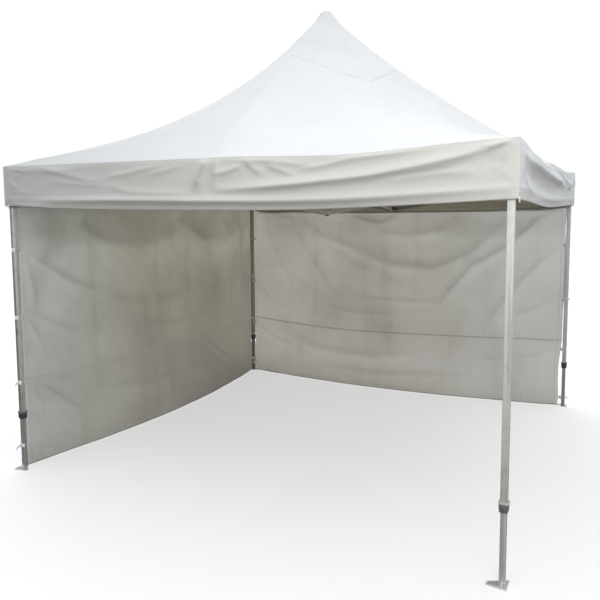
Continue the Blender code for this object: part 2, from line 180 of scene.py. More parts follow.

# Each sheet's colours change along it to the far ones: painted shade towards the roof's left side,
# painted light towards the left wall's front end, and a change of tone on the back wall. The two
# walls are one cloth, given lit and shaded copies of its look.
sheetLooks = {
    "roof": {
        "colour": (0.765, 0.78, 0.80), "far": (0.44, 0.46, 0.475),
        "toneSpan": ("X", 0.15, -1.6),
        "soilAndShade": (0.60, 0.61, 0.58), "soilShare": 0.22, "hemSoil": 0.12, "lowShade": 0.0,
        "topShade": 0.0, "through": (0.93, 0.92, 0.89), "throughFar": (0.80, 0.81, 0.81),
        "throughShare": 0.20, "edgeThrough": 0.25, "seamShade": 0.26, "creaseShade": 0.46,
        "hemLine": 0.0,
    },
    "back": {
        "colour": (0.84, 0.79, 0.75), "far": (0.75, 0.765, 0.74),
        "toneSpan": ("X", -0.3, 1.2),
        "soilAndShade": (0.52, 0.475, 0.41), "soilShare": 0.30, "hemSoil": 0.30, "lowShade": 0.08,
        "topShade": 0.0, "through": (0.90, 0.88, 0.84), "throughFar": (0.84, 0.845, 0.82),
        "throughShare": 0.56, "topThrough": (0.09, 0.14), "edgeThrough": 1.0, "seamShade": 0.85,
        "creaseShade": 0.10, "hemLine": 1.0,
    },
    "left": {
        "colour": (0.72, 0.695, 0.62), "far": (0.78, 0.805, 0.785),
        "toneSpan": ("Y", -0.3, -1.3),
        "soilAndShade": (0.42, 0.40, 0.35), "soilShare": 0.35, "hemSoil": 0.30, "lowShade": 0.42,
        "topShade": 0.24, "through": (0.76, 0.735, 0.66), "throughFar": (0.88, 0.905, 0.89),
        "throughShare": 0.52, "topThrough": (0.46, -0.42), "edgeThrough": 1.0,
        "seamShade": 0.50, "creaseShade": 0.10, "hemLine": 1.0,
    },
}
# The valance is the roof's cloth, painted darker than the roof as painted shade on its upright
# sides, darker still towards the left end as painted shade, and lighter and bluer on the right side
# as painted light
valanceLook = {
    "colour": (0.625, 0.616, 0.587), "far": (0.485, 0.487, 0.475), "right": (0.63, 0.64, 0.65),
    "rightFrom": (1.474, 1.480), "upTo": (0.35, 0.6),
    # The front's hem gets a band of painted shade between these places
    "hemPaintedShade": (0.84, 0.84, 0.84),
    "hemUpTo": (0.044, 0.052), "hemFrom": (-1.15, -0.6), "hemTo": (0.8, 1.3),
}


def valanceColours(tree, base, far, hemUp, x):
    look = valanceLook
    tone = mixColours(tree, far, look["colour"], look["far"])
    tone = mixColours(tree, ramp(tree, x, *look["rightFrom"]), tone, look["right"])
    base = mixColours(tree, ramp(tree, hemUp, *look["upTo"], 1.0, 0.0), base, tone)
    hemmed = mixColours(tree, 1.0, base, look["hemPaintedShade"], "MULTIPLY")
    share = inTurn(
        tree, "MULTIPLY",
        ramp(tree, hemUp, *look["hemUpTo"], 1.0, 0.0),
        ramp(tree, x, *look["hemFrom"]),
        ramp(tree, x, *look["hemTo"], 1.0, 0.0),
    )
    return mixColours(tree, share, base, hemmed)


def stitchRows(tree, look, uv, seam, hem, patch):
    # Two rows of stitches beside each seam, as dashes along the cloth
    dash = doMath(tree, "ADD", uv.outputs["X"], uv.outputs["Y"])
    dash = doMath(tree, "FRACT", doMath(tree, "DIVIDE", dash, look["stitchLength"]))
    dash = doMath(tree, "ABSOLUTE", doMath(tree, "SUBTRACT", dash, 0.5))
    dash = ramp(tree, dash, *look["stitchDash"], 1.0, 0.0)
    seamRow = doMath(tree, "SUBTRACT", seam, look["stitchFromSeam"])
    hemRow = doMath(tree, "SUBTRACT", hem, look["stitchFromHem"])
    row = doMath(tree, "MINIMUM", doMath(tree, "ABSOLUTE", hemRow), patch)
    row = doMath(tree, "MINIMUM", doMath(tree, "ABSOLUTE", seamRow), row)
    width = look["stitchHalfWidth"]
    return doMath(tree, "MULTIPLY", dash, ramp(tree, row, width * 0.5, width, 1.0, 0.0))


def seamShading(tree, look, clouds, seam, hem, hemUp):
    # Seams, hems, the lower edge and creases get painted shade, darker than the cloth beside them
    shade = look["seamShade"]
    lowest = look["bottomShade"] * look["hemLine"]
    crease = attribute(tree, "creaseShare")
    crease = doMath(tree, "MULTIPLY", crease, ramp(tree, clouds, 0.3, 0.7, 0.6, 1.0))
    return inTurn(
        tree, "MAXIMUM",
        ramp(tree, seam, *look["seamShadeReach"], shade, 0.0),
        ramp(tree, hem, *look["hemShadeReach"], shade * look["hemShadePart"], 0.0),
        ramp(tree, hemUp, *look["bottomLineUp"], lowest, 0.0),
        doMath(tree, "MULTIPLY", crease, look["creaseShade"]),
    )


def makeCloth(name, key):
    look = {**clothLook, **sheetLooks[key]}
    colour, soilAndShade, soilShare = look["colour"], look["soilAndShade"], look["soilShare"]
    material, tree, shader = startMaterial(name, colour, look["roughness"])
    setInputs(tree, shader, look["finish"])
    place = objectPlace(tree)
    split = addNode(tree, "ShaderNodeSeparateXYZ", Vector=place)
    flat = addNode(tree, "ShaderNodeUVMap", uv_map="cloth").outputs["UV"]
    uv = addNode(tree, "ShaderNodeSeparateXYZ", Vector=flat)
    seam, hem, patch = (
        doMath(tree, "ABSOLUTE", attribute(tree, aside))
        for aside in ("seamAside", "hemAside", "patchAside"))
    hemUp, tape = attribute(tree, "hemUp"), attribute(tree, "tapeAside")

    clouds = noiseOf(tree, place, *look["clouds"])
    streaks = noiseOf(tree, stretched(tree, place, look["streakStretch"]), 1.0)
    specks = noiseOf(tree, place, *look["specks"])
    hemSoil = ramp(tree, hemUp, 0.0, look["hemSoilUp"], look["hemSoil"], 0.0)
    # Clouds, streaks, specks and the soil near the hem are dirt; the darkening towards the bottom
    # and just below the top edge is painted shade
    dirtAndShade = inTurn(
        tree, "ADD",
        ramp(tree, clouds, *look["cloudReach"], 0.0, soilShare),
        ramp(tree, streaks, *look["streakReach"], 0.0, soilShare * look["streakPart"]),
        ramp(tree, specks, *look["speckReach"], 0.0, soilShare * look["speckPart"]),
        doMath(tree, "MULTIPLY", hemSoil, ramp(tree, specks, 0.3, 0.7, 0.25, 1.0)),
        ramp(tree, hemUp, 0.0, look["lowShadeUp"], look["lowShade"], 0.0),
        ramp(tree, hemUp, *look["topShadeUp"], 0.0, look["topShade"]),
    )
    dirtAndShade = doMath(tree, "MINIMUM", dirtAndShade, look["mostDirtAndShade"])

    # The share towards the far colours, painted light and shade on the roof and the left wall
    axis, near, away = look["toneSpan"]
    far = ramp(tree, split.outputs[axis], near, away)
    tone = mixColours(tree, far, colour, look["far"])
    if key == "roof":
        tone = valanceColours(tree, tone, far, hemUp, split.outputs["X"])
    tone = mixColours(tree, dirtAndShade, tone, soilAndShade)
    onTape = ramp(tree, tape, 0.0, 0.001, 0.0, look["tapeShare"])
    tone = mixColours(tree, onTape, tone, look["tape"])
    shade = seamShading(tree, look, clouds, seam, hem, hemUp)
    tone = mixColours(tree, shade, tone, [value * look["shadeTone"] for value in colour])
    stitches = stitchRows(tree, look, uv, seam, hem, patch)
    stitched = doMath(tree, "MULTIPLY", stitches, look["stitchShare"])
    low, high = (look["roughness"] + look[end] for end in ("roughnessFrom", "roughnessTo"))
    setInputs(tree, shader, {
        "Base Color": mixColours(tree, stitched, tone, look["stitchTint"]),
        "Roughness": ramp(tree, dirtAndShade, 0.0, 0.6, low, high),
    })

    turn = look["threadsPerMetre"] * pi
    warp, weft = (
        doMath(tree, "SINE", doMath(tree, "MULTIPLY", uv.outputs[way], turn)) for way in ("X", "Y"))
    bumpFrom(tree, shader, (
        (noiseOf(tree, place, *look["crumple"]), look["crumpleBump"]),
        (noiseOf(tree, place, *look["fine"]), look["fineBump"]),
        (doMath(tree, "MULTIPLY", warp, weft), look["weaveBump"]),
        (stitches, look["stitchBump"]),
    ))

    # Daylight comes through the cloth, less of it through seams, creases and soiled places. The
    # share let through is cut on the valance and raised near the walls' tops, and its colour
    # changes along the sheet, as painted light and shade.
    lit = mixColours(tree, dirtAndShade, mixColours(tree, far, look["through"], look["throughFar"]), soilAndShade)
    glow = addNode(tree, "ShaderNodeBsdfTranslucent", Color=lit)
    most = look["throughShare"]
    share = ramp(tree, shade, 0.0, 0.6, most, most * look["throughInShade"])
    edgeShare = ramp(tree, hemUp, *look["edgeThroughUp"], look["edgeThrough"], 1.0)
    share = doMath(tree, "MULTIPLY", share, edgeShare)
    if "topThrough" in look:
        here, change = look["topThrough"]
        more = doMath(tree, "MULTIPLY_ADD", far, change, here)
        more = doMath(tree, "MULTIPLY", more, ramp(tree, hemUp, *look["topThroughUp"]))
        share = doMath(tree, "MULTIPLY", share, doMath(tree, "ADD", more, 1.0))
    both = tree.nodes.new("ShaderNodeMixShader")
    for value, socket in zip((share, shader.outputs["BSDF"], glow.outputs["BSDF"]), both.inputs):
        tree.links.new(value, socket)
    setInputs(tree, tree.nodes["Material Output"], {"Surface": both.outputs["Shader"]})
    return material


liningLook = {
    "colour": (0.85, 0.805, 0.69), "soilAndShade": (0.66, 0.62, 0.53), "roughness": 0.8,
    "specular": 0.3, "clouds": (1.9, 6.0, 0.6, 0.5), "cloudReach": (0.35, 0.75),
    "crumple": (12.0, 5.0, 0.6, 0.8), "crumpleBump": (0.005, 0.35), "fine": (70.0, 3.0, 0.6),
    "fineBump": (0.001, 0.3),
}


def makeLining(name):
    # The coated inner side of the roof and the valance
    look = liningLook
    material, tree, shader = startMaterial(name, look["colour"], look["roughness"])
    place = objectPlace(tree)
    clouds = ramp(tree, noiseOf(tree, place, *look["clouds"]), *look["cloudReach"])
    setInputs(tree, shader, {
        "Base Color": mixColours(tree, clouds, look["colour"], look["soilAndShade"]),
        "Specular IOR Level": look["specular"],
    })
    bumpFrom(tree, shader, (
        (noiseOf(tree, place, *look["crumple"]), look["crumpleBump"]),
        (noiseOf(tree, place, *look["fine"]), look["fineBump"]),
    ))
    return material


steelLook = {
    "streakStretch": (60.0, 60.0, 2.2), "streaks": (1.0, 6.0, 0.65),
    "streakShare": (0.48, 0.75, 0.0, 0.5), "blotches": (16.0, 5.0, 0.6, 0.6),
    "blotchShare": (0.52, 0.75, 0.0, 0.35), "blotchBump": (0.0006, 0.2),
    "chips": (140.0, 4.0, 0.7), "chipShare": (0.68, 0.74, 0.0, 0.5), "chipBump": (0.0003, 0.2),
    "peel": (420.0, 2.0), "peelBump": (0.0002, 0.25),
    # The painted shade near the ground fades out between these heights
    "lowShadeUp": (0.35, 1.55),
    "mostDirtAndShade": 0.9, "edgeHighlightTone": (0.78, 0.79, 0.78),
}


def makeSteel(name, colour, wornAndShaded, metallic, roughness, lowShade=0.0):
    look = steelLook
    material, tree, shader = startMaterial(name, colour, roughness, metallic)
    place = objectPlace(tree)
    height = addNode(tree, "ShaderNodeSeparateXYZ", Vector=place).outputs["Z"]
    streaks = noiseOf(tree, stretched(tree, place, look["streakStretch"]), *look["streaks"])
    blotches = noiseOf(tree, place, *look["blotches"])
    chips = noiseOf(tree, place, *look["chips"])
    # Streaks, blotches and chips are wear; the darkening near the ground and on one side of a leg
    # is painted shade
    share = inTurn(
        tree, "ADD",
        ramp(tree, streaks, *look["streakShare"]),
        ramp(tree, blotches, *look["blotchShare"]),
        ramp(tree, chips, *look["chipShare"]),
        ramp(tree, height, *look["lowShadeUp"], lowShade, 0.0),
        attribute(tree, "sideShade"),
    )
    share = doMath(tree, "MINIMUM", share, look["mostDirtAndShade"])
    tone = mixColours(tree, share, colour, wornAndShaded)
    # Faces marked on the feet get a painted highlight
    setInputs(tree, shader, {
        "Base Color": mixColours(tree, attribute(tree, "edgeHighlight"), tone, look["edgeHighlightTone"]),
        "Roughness": ramp(tree, share, 0.0, 0.8, roughness, roughness + 0.25),
    })
    bumpFrom(tree, shader, (
        (blotches, look["blotchBump"]),
        (noiseOf(tree, place, *look["peel"]), look["peelBump"]),
        (chips, look["chipBump"]),
    ))
    return material


plasticLook = {
    "specular": 0.45, "scuffs": (45.0, 6.0, 0.7, 0.5), "scuffShare": (0.55, 0.75, 0.0, 0.6),
    "scuffBump": (0.0003, 0.2), "dust": (9.0, 4.0), "dustShare": (0.4, 0.8, 0.0, 0.35),
    "grain": (700.0, 2.0), "grainBump": (0.0002, 0.3),
}


def makePlastic(name, colour, scuffed, roughness):
    look = plasticLook
    material, tree, shader = startMaterial(name, colour, roughness)
    place = objectPlace(tree)
    scuffs = noiseOf(tree, place, *look["scuffs"])
    dust = ramp(tree, noiseOf(tree, place, *look["dust"]), *look["dustShare"])
    share = doMath(tree, "ADD", ramp(tree, scuffs, *look["scuffShare"]), dust)
    setInputs(tree, shader, {
        "Base Color": mixColours(tree, share, colour, scuffed),
        "Roughness": ramp(tree, share, 0.0, 0.8, roughness, roughness + 0.2),
        "Specular IOR Level": look["specular"],
    })
    grain = noiseOf(tree, place, *look["grain"])
    bumpFrom(tree, shader, ((grain, look["grainBump"]), (scuffs, look["scuffBump"])))
    return material


webbingLook = {
    "roughness": 0.85, "sheen": 0.25, "ribsPerMetre": 700.0, "ribBump": (0.0005, 0.6),
    "grime": (35.0, 4.0), "grimeShare": (0.45, 0.8, 0.0, 0.5), "grimeTone": 0.66,
    "grimeBump": (0.0005, 0.2),
}


def makeWebbing(name, colour):
    look = webbingLook
    material, tree, shader = startMaterial(name, colour, look["roughness"])
    place = objectPlace(tree)
    split = addNode(tree, "ShaderNodeSeparateXYZ", Vector=place)
    across = doMath(tree, "ADD", split.outputs["X"], split.outputs["Y"])
    level, across = (
        doMath(tree, "SINE", doMath(tree, "MULTIPLY", value, look["ribsPerMetre"] * pi))
        for value in (split.outputs["Z"], across))
    grime = ramp(tree, noiseOf(tree, place, *look["grime"]), *look["grimeShare"])
    dark = [value * look["grimeTone"] for value in colour]
    setInputs(tree, shader, {
        "Base Color": mixColours(tree, grime, colour, dark),
        "Sheen Weight": look["sheen"],
    })
    ribs = doMath(tree, "MULTIPLY", level, across)
    bumpFrom(tree, shader, ((ribs, look["ribBump"]), (grime, look["grimeBump"])))
    return material


roofCloth = makeCloth("roofCloth", "roof")
roofLining = makeLining("roofLining")
wallCloths = {side: makeCloth(f"{side}WallCloth", side) for side in ("back", "left")}
# Colour, worn and shaded colour, metallic, roughness and the painted shade near the ground. Besides
# the painted, plated and rivet steels, these are lit copies, as painted light, and shaded copies,
# as painted shade, given to single legs, the bars and the buttons.
steelTones = {
    "painted": ((0.62, 0.635, 0.62), (0.27, 0.265, 0.235), 0.15, 0.42, 0.75),
    "shaded": ((0.60, 0.61, 0.595), (0.10, 0.098, 0.09), 0.15, 0.42, 0.40),
    "bluish": ((0.62, 0.645, 0.645), (0.30, 0.31, 0.31), 0.15, 0.42, 0.45),
    "olive": ((0.50, 0.49, 0.44), (0.13, 0.125, 0.105), 0.1, 0.5, 0.25),
    "dimShaded": ((0.44, 0.44, 0.42), (0.085, 0.082, 0.075), 0.3, 0.45, 0.25),
    "deepShaded": ((0.34, 0.35, 0.335), (0.16, 0.155, 0.135), 0.25, 0.45, 0.6),
    "pale": ((0.86, 0.865, 0.85), (0.50, 0.50, 0.47), 0.0, 0.5),
    "plated": ((0.40, 0.41, 0.40), (0.25, 0.25, 0.235), 0.45, 0.42),
    "rivet": ((0.30, 0.30, 0.29), (0.16, 0.15, 0.14), 0.7, 0.35),
}
steels = {name: makeSteel(f"{name}Steel", *values) for name, values in steelTones.items()}
# Colour, scuffed colour and roughness
plasticTones = {
    "black": ((0.045, 0.046, 0.050), (0.14, 0.14, 0.14), 0.45),
    # The lower connectors' brown is painted shade
    "shadeBrown": ((0.15, 0.14, 0.125), (0.26, 0.24, 0.21), 0.55),
    "scuffed": ((0.115, 0.12, 0.12), (0.34, 0.35, 0.345), 0.5),
    # The hubs' grey is made light as painted light, as they stand in shade under the roof
    "grey": ((0.86, 0.87, 0.85), (0.60, 0.60, 0.57), 0.5),
    # A lighter plastic for a collar's top, as a painted highlight
    "rim": ((0.42, 0.43, 0.42), (0.30, 0.30, 0.28), 0.5),
}
plastics = {name: makePlastic(f"{name}Plastic", *values)
            for name, values in plasticTones.items()}
whiteWebbing = makeWebbing("whiteWebbing", (0.84, 0.84, 0.82))
shadedWebbing = makeWebbing("shadedWebbing", (0.58, 0.57, 0.52))
print("materials made")


# Shared modelling helpers

def addObject(name, data):
    item = bpy.data.objects.new(name, data)
    bpy.context.scene.collection.objects.link(item)
    return item


def finishPiece(name, bm, material, body, merge=0.00001):
    bmesh.ops.remove_doubles(bm, verts=bm.verts, dist=merge)
    bmesh.ops.recalc_face_normals(bm, faces=bm.faces)
    return placePiece(name, bm, material, body)


def placePiece(name, bm, material, body):
    mesh = bpy.data.meshes.new(name)
    bm.to_mesh(mesh)
    bm.free()
    mesh.materials.append(material)
    piece = addObject(name, mesh)
    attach(piece, body)
    return piece


def addModifier(piece, kind, **values):
    step = piece.modifiers.new(kind.title(), kind)
    for key, value in values.items():
        setattr(step, key, value)


def addStrip(bm, grid):
    # Faces between neighbouring columns of vertices
    for first, second in zip(grid, grid[1:]):
        for row in range(len(first) - 1):
            bm.faces.new((first[row], second[row], second[row + 1], first[row + 1]))


def spinRound(bm, steps):
    bmesh.ops.spin(bm, geom=list(bm.verts) + list(bm.edges), cent=(0, 0, 0), axis=(0, 0, 1),
                   angle=2 * pi, steps=steps, use_merge=True)


def turnedPiece(name, profile, steps, material, angle):
    # A lathed piece on the tent's middle line, from (radius, height) points
    bm = bmesh.new()
    verts = [bm.verts.new((x, 0, z)) for x, z in profile]
    for pair in zip(verts, verts[1:]):
        bm.edges.new(pair)
    spinRound(bm, steps)
    piece = finishPiece(name, bm, material, "tent", 0.00003)
    smoothShade(piece, angle)
    return piece


def thicken(piece, thickness):
    addModifier(piece, "SOLIDIFY", thickness=thickness, offset=0.0, use_even_offset=True)


def faceOut(bm, way):
    # Turns a sheet's faces towards one direction, and returns its area
    bmesh.ops.recalc_face_normals(bm, faces=bm.faces)
    if sum(face.normal.dot(way) for face in bm.faces) < 0:
        bmesh.ops.reverse_faces(bm, faces=bm.faces)
    return sum(face.calc_area() for face in bm.faces)


def smoothShade(piece, angle=0.9):
    piece.data.shade_smooth()
    piece.data.set_sharp_from_angle(angle=angle)


def ease(value):
    value = min(max(value, 0.0), 1.0)
    return value * value * (3 - 2 * value)


def curveThrough(points, at):
    # A smooth curve through the points, read at one place
    xs = [point[0] for point in points]
    ys = [point[1] for point in points]
    slopes = np.gradient(ys, xs)
    at = min(max(at, xs[0]), xs[-1])
    index = min(max(np.searchsorted(xs, at) - 1, 0), len(xs) - 2)
    span = xs[index + 1] - xs[index]
    t = (at - xs[index]) / span
    rise = ys[index] * (2 * t**3 - 3 * t**2 + 1) + ys[index + 1] * (3 * t**2 - 2 * t**3)
    return rise + span * (slopes[index] * (t**3 - 2 * t**2 + t) + slopes[index + 1] * (t**3 - t**2))


foldShape = {
    # Where a fold is full, from its start and from its end, as shares of its length
    "startFade": 0.22,
    "endFade": 0.30, "fadePower": 0.8,
    # The shaded line along a fold, and the rise at which it is darkest
    "lineRise": 0.014,
    "lineWidth": 0.006, "lineSpread": 0.20, "lineCrispness": 1.3,
}


def foldDepth(folds, along, height):
    total = np.zeros(len(along))
    for line, rise, leftWidth, rightWidth, crispness in folds:
        points = np.asarray(line)
        spans = np.hypot(*np.diff(points, axis=0).T)
        lengths = np.concatenate(([0], np.cumsum(spans)))
        nearest = np.full(len(along), np.inf)
        aside, travelled = np.zeros((2, len(along)))
        for index, span in enumerate(spans):
            start = points[index]
            run = (points[index + 1] - start) / span
            across, up = along - start[0], height - start[1]
            reach = np.clip(across * run[0] + up * run[1], 0, span)
            distance = np.hypot(across - reach * run[0], up - reach * run[1])
            closer = distance < nearest
            nearest[closer] = distance[closer]
            side = run[0] * up - run[1] * across
            aside[closer] = np.sign(side[closer])
            travelled[closer] = (lengths[index] + reach[closer]) / lengths[-1]
        width = np.where(aside > 0, leftWidth, rightWidth)
        ends = travelled / foldShape["startFade"], (1 - travelled) / foldShape["endFade"]
        fade = np.clip(np.minimum(*ends), 0, 1) ** foldShape["fadePower"]
        total += rise * fade * np.exp(-((nearest / width) ** crispness))
    return total


def inMetres(folds):
    # Each fold is (line, rise, width left of the line, width right of it, crispness). The
    # tables give all lengths in millimetres.
    return [(np.array(line) / 1000, rise / 1000, left / 1000, right / 1000, crispness)
            for line, rise, left, right, crispness in folds]


def creaseLines(folds, along, height):
    # How near each place is to the line of a fold, 1 on the sharpest ones
    base, spread = foldShape["lineWidth"], foldShape["lineSpread"]
    thin = [(line, abs(rise) / foldShape["lineRise"], base + left * spread, base + right * spread,
             foldShape["lineCrispness"]) for line, rise, left, right, _ in folds]
    return np.clip(foldDepth(thin, along, height), 0, 1)


def wrinkles(along, height, seed, scale, stretch, turn):
    # Fine random creases, drawn out in one direction
    values = np.zeros(len(along))
    c, s = cos(turn), sin(turn)
    for index, (a, h) in enumerate(zip(along, height)):
        x, y = (a * c + h * s) * scale / stretch, (h * c - a * s) * scale
        values[index] = noise.noise((x, y, seed)) + 0.5 * noise.noise((2.1 * x, 2.1 * y, seed + 9))
    return values


def hump(distance, width):
    return np.exp(-((distance / width) ** 2))


# Roof and valance, one sheet of cloth

canopy = {
    "steps": 150,
    # How much closer together the grid's lines lie at the middle and at the corners
    "packing": 0.26,
    "cloth": 0.0010, "rounding": 0.004, "rimDrop": 0.6, "cornerEave": 1.880,
    "midEave": {"front": 1.865, "right": 1.848, "back": 1.860, "left": 1.865},
    # Depth of the sag at each end's half of an eave
    "eaveSag": {
        "front": (0.0, 0.025), "right": (0.032, 0.018), "back": (0.02, 0.02), "left": (0.02, 0.02),
    },
    # Depth and lean of the sag between the peak and the eave
    "hipSag": {
        "front_right": (0.288, 1.0), "front_left": (0.238, 0.81),
        "back_left": (0.26, 0.9), "back_right": (0.26, 0.9),
    },
    "ridgeSag": {
        "front": (0.0, 1.0), "right": (0.073, 0.82), "back": (0.03, 0.8), "left": (0.0, 1.0),
    },
    "crown": 0.028, "crownDrop": 9.0, "crownBlend": 0.12,
    # How far out the seam of the peak's panel crosses each hip
    "ringSeam": {
        "front_right": 0.49, "front_left": 0.60, "back_left": 0.57, "back_right": 0.52,
    },
    "ringDepth": 0.0025, "ringWidth": 0.012,
    # The roof's folds fade to this share at the eave, over this distance
    "eaveFold": 0.35,
    "eaveFade": 0.10, "wrinkle": 0.006, "patchRadius": 0.175, "patchRise": 0.0009,
    "patchStep": 0.006, "patchStretch": 1.4, "puckers": 0.0030, "puckerWidth": 0.022,
    "puckerWaves": 26,
}

valance = {
    "rows": 39, "firstRow": 0.025, "hem": 0.045, "hemStitch": 0.0008, "hemStitchWidth": 0.006,
    "hemRoll": 0.0030, "hemRollUp": 0.047, "hemRollWidth": 0.013, "flare": 0.009,
    "flareUp": 0.040, "flarePower": 1.1, "flarePart": 0.9, "stand": 0.0015,
    "leastStand": 0.0009, "push": 0.003, "mostInward": (0.003, 0.007), "creaseDown": 0.010,
    # Below the rim and beside a corner the folds are full from here
    "topFade": 0.022,
    "cornerFade": 0.05, "cornerWelt": 0.003,
    "foldScale": {"front": 1.3, "right": 1.0, "back": 1.5, "left": 1.5},
    # The lower edge, along each side seen from outside
    "edge": {
        "front": ((-1.48, 1.642), (-1.1, 1.625), (-0.72, 1.614), (-0.05, 1.603), (0.51, 1.600),
                  (0.99, 1.613), (1.48, 1.634)),
        "right": ((-1.48, 1.634), (-1.1, 1.624), (-0.48, 1.604), (0.16, 1.606), (0.9, 1.618),
                  (1.48, 1.622)),
        "back": ((-1.48, 1.622), (-1.40, 1.604), (-1.0, 1.588), (-0.3, 1.578), (0.5, 1.578),
                 (1.0, 1.590), (1.40, 1.602), (1.48, 1.625)),
        "left": ((-1.48, 1.625), (-0.9, 1.620), (-0.1, 1.621), (0.6, 1.626), (1.1, 1.633),
                 (1.48, 1.642)),
    },
}
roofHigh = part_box("canopy")[1]
half, apex = roofHigh.x, roofHigh.z

frontFolds = (
    # The crease below the middle connector, dark on its left
    (((2, 1870), (-22, 1820), (-50, 1770), (-75, 1690)), 16, 22, 30, 1.5),
    (((50, 1868), (45, 1800), (30, 1710)), 8, 20, 16, 1.5),
    # The long fold from the near corner, and the roll above the hem
    (((1470, 1874), (1366, 1846), (1303, 1825), (1231, 1808), (1122, 1788), (1036, 1774),
      (947, 1760), (856, 1748), (760, 1739), (620, 1730), (520, 1722), (350, 1713), (120, 1704),
      (0, 1706)), 21, 22, 24, 1.7),
    (((-1200, 1668), (-900, 1668), (-660, 1667), (-340, 1660), (-100, 1652), (120, 1648),
      (350, 1643), (620, 1643), (800, 1647), (1070, 1660), (1270, 1670),
      (1420, 1675)), 11, 18, 18, 1.8),
    (((-660, 1745), (-500, 1705), (-300, 1694), (-50, 1688)), 6, 20, 22, 1.7),
    # Short creases that run down from the middle
    (((30, 1778), (130, 1797), (215, 1824)), 8, 16, 18, 1.5),
    (((215, 1845), (265, 1805), (320, 1765)), 8, 18, 14, 1.5),
    (((340, 1815), (420, 1785), (500, 1753)), 7, 16, 11, 1.5),
    (((120, 1852), (330, 1836), (500, 1812), (620, 1790)), 5, 16, 16, 1.7),
    (((480, 1775), (620, 1800), (750, 1822), (870, 1836), (1000, 1846),
      (1160, 1863)), 8, 14, 18, 1.6),
    (((600, 1845), (740, 1838), (880, 1848)), 4, 10, 12, 1.7),
    # Creases that fan out from the near corner
    (((1465, 1880), (1405, 1856), (1340, 1826)), 8, 10, 12, 1.5),
    (((1465, 1872), (1440, 1830), (1410, 1780)), 6, 10, 10, 1.5),
    (((1330, 1745), (1200, 1748), (1050, 1735), (900, 1712)), 6, 20, 22, 1.7),
    (((1250, 1790), (1120, 1768), (1000, 1755)), 4, 12, 14, 1.6),
    # The half on the far side of the middle
    (((-1460, 1864), (-1300, 1846), (-1100, 1834), (-950, 1838), (-800, 1852)), 3, 16, 20, 1.7),
    (((-1240, 1870), (-1120, 1850), (-930, 1806), (-800, 1778), (-680, 1768)), 5, 22, 16, 1.6),
    (((-1100, 1778), (-950, 1764), (-780, 1750), (-660, 1744)), 3, 18, 14, 1.6),
    (((-680, 1786), (-530, 1804), (-420, 1821), (-260, 1842)), 5, 14, 16, 1.6),
    (((-400, 1790), (-280, 1808), (-150, 1835)), 4, 14, 14, 1.6),
    (((-1450, 1656), (-1270, 1642), (-1080, 1632)), 5, 16, 14, 1.6),
    (((-1460, 1800), (-1360, 1730), (-1220, 1700)), 2, 20, 18, 1.6),
)
rightFolds = (
    (((-1475, 1850), (-1430, 1818), (-1250, 1798), (-1000, 1782), (-600, 1768), (-100, 1756),
      (600, 1738)), 30, 34, 26, 1.7),
    (((-1460, 1785), (-1250, 1752), (-1000, 1724), (-550, 1698), (0, 1675)), -8, 24, 35, 1.8),
    (((-1460, 1835), (-1400, 1770), (-1280, 1700), (-1050, 1662)), 8, 20, 28, 1.6),
    (((-1250, 1842), (-1000, 1818), (-700, 1810), (-350, 1815)), 12, 18, 22, 1.6),
    (((20, 1848), (-30, 1780), (-20, 1700)), 10, 30, 40, 1.3),
    (((80, 1845), (350, 1800), (700, 1775), (1100, 1770)), 12, 20, 30, 1.6),
    (((1460, 1865), (1250, 1800), (950, 1755), (600, 1730)), 14, 20, 35, 1.6),
    (((1460, 1840), (1360, 1750), (1200, 1690)), 8, 16, 25, 1.6),
    (((-900, 1650), (-200, 1645), (500, 1648)), 8, 26, 22, 1.8),
)
backFolds = (
    (((-1460, 1865), (-1250, 1800), (-950, 1765), (-600, 1735), (-200, 1715)), 16, 40, 18, 1.6),
    (((-1440, 1830), (-1300, 1745), (-1100, 1690)), 8, 30, 18, 1.6),
    (((0, 1860), (20, 1790), (60, 1700)), 10, 30, 45, 1.3),
    (((-80, 1855), (-350, 1812), (-650, 1800)), 8, 14, 30, 1.6),
    (((80, 1855), (300, 1802), (550, 1775), (800, 1765)), 10, 25, 14, 1.6),
    (((1460, 1868), (1200, 1805), (900, 1775), (500, 1740)), 16, 16, 40, 1.6),
    (((1450, 1835), (1320, 1750), (1100, 1700), (800, 1680)), 9, 16, 35, 1.6),
)
leftFolds = (
    (((-1460, 1866), (-1200, 1798), (-900, 1770), (-500, 1745)), 14, 35, 18, 1.6),
    (((-1450, 1830), (-1320, 1740), (-1120, 1700)), 7, 30, 18, 1.6),
    (((0, 1863), (-30, 1780), (-50, 1700)), 10, 45, 30, 1.3),
    (((90, 1855), (400, 1795), (700, 1770)), 9, 22, 14, 1.6),
    (((-80, 1855), (-300, 1800), (-500, 1780)), 8, 14, 25, 1.6),
    (((1460, 1868), (1250, 1815), (950, 1785), (600, 1750), (300, 1735)), 15, 18, 42, 1.6),
    (((1450, 1830), (1300, 1745), (1050, 1690)), 8, 16, 30, 1.6),
)
valanceFolds = {
    "front": inMetres(frontFolds), "right": inMetres(rightFolds),
    "back": inMetres(backFolds), "left": inMetres(leftFolds),
}

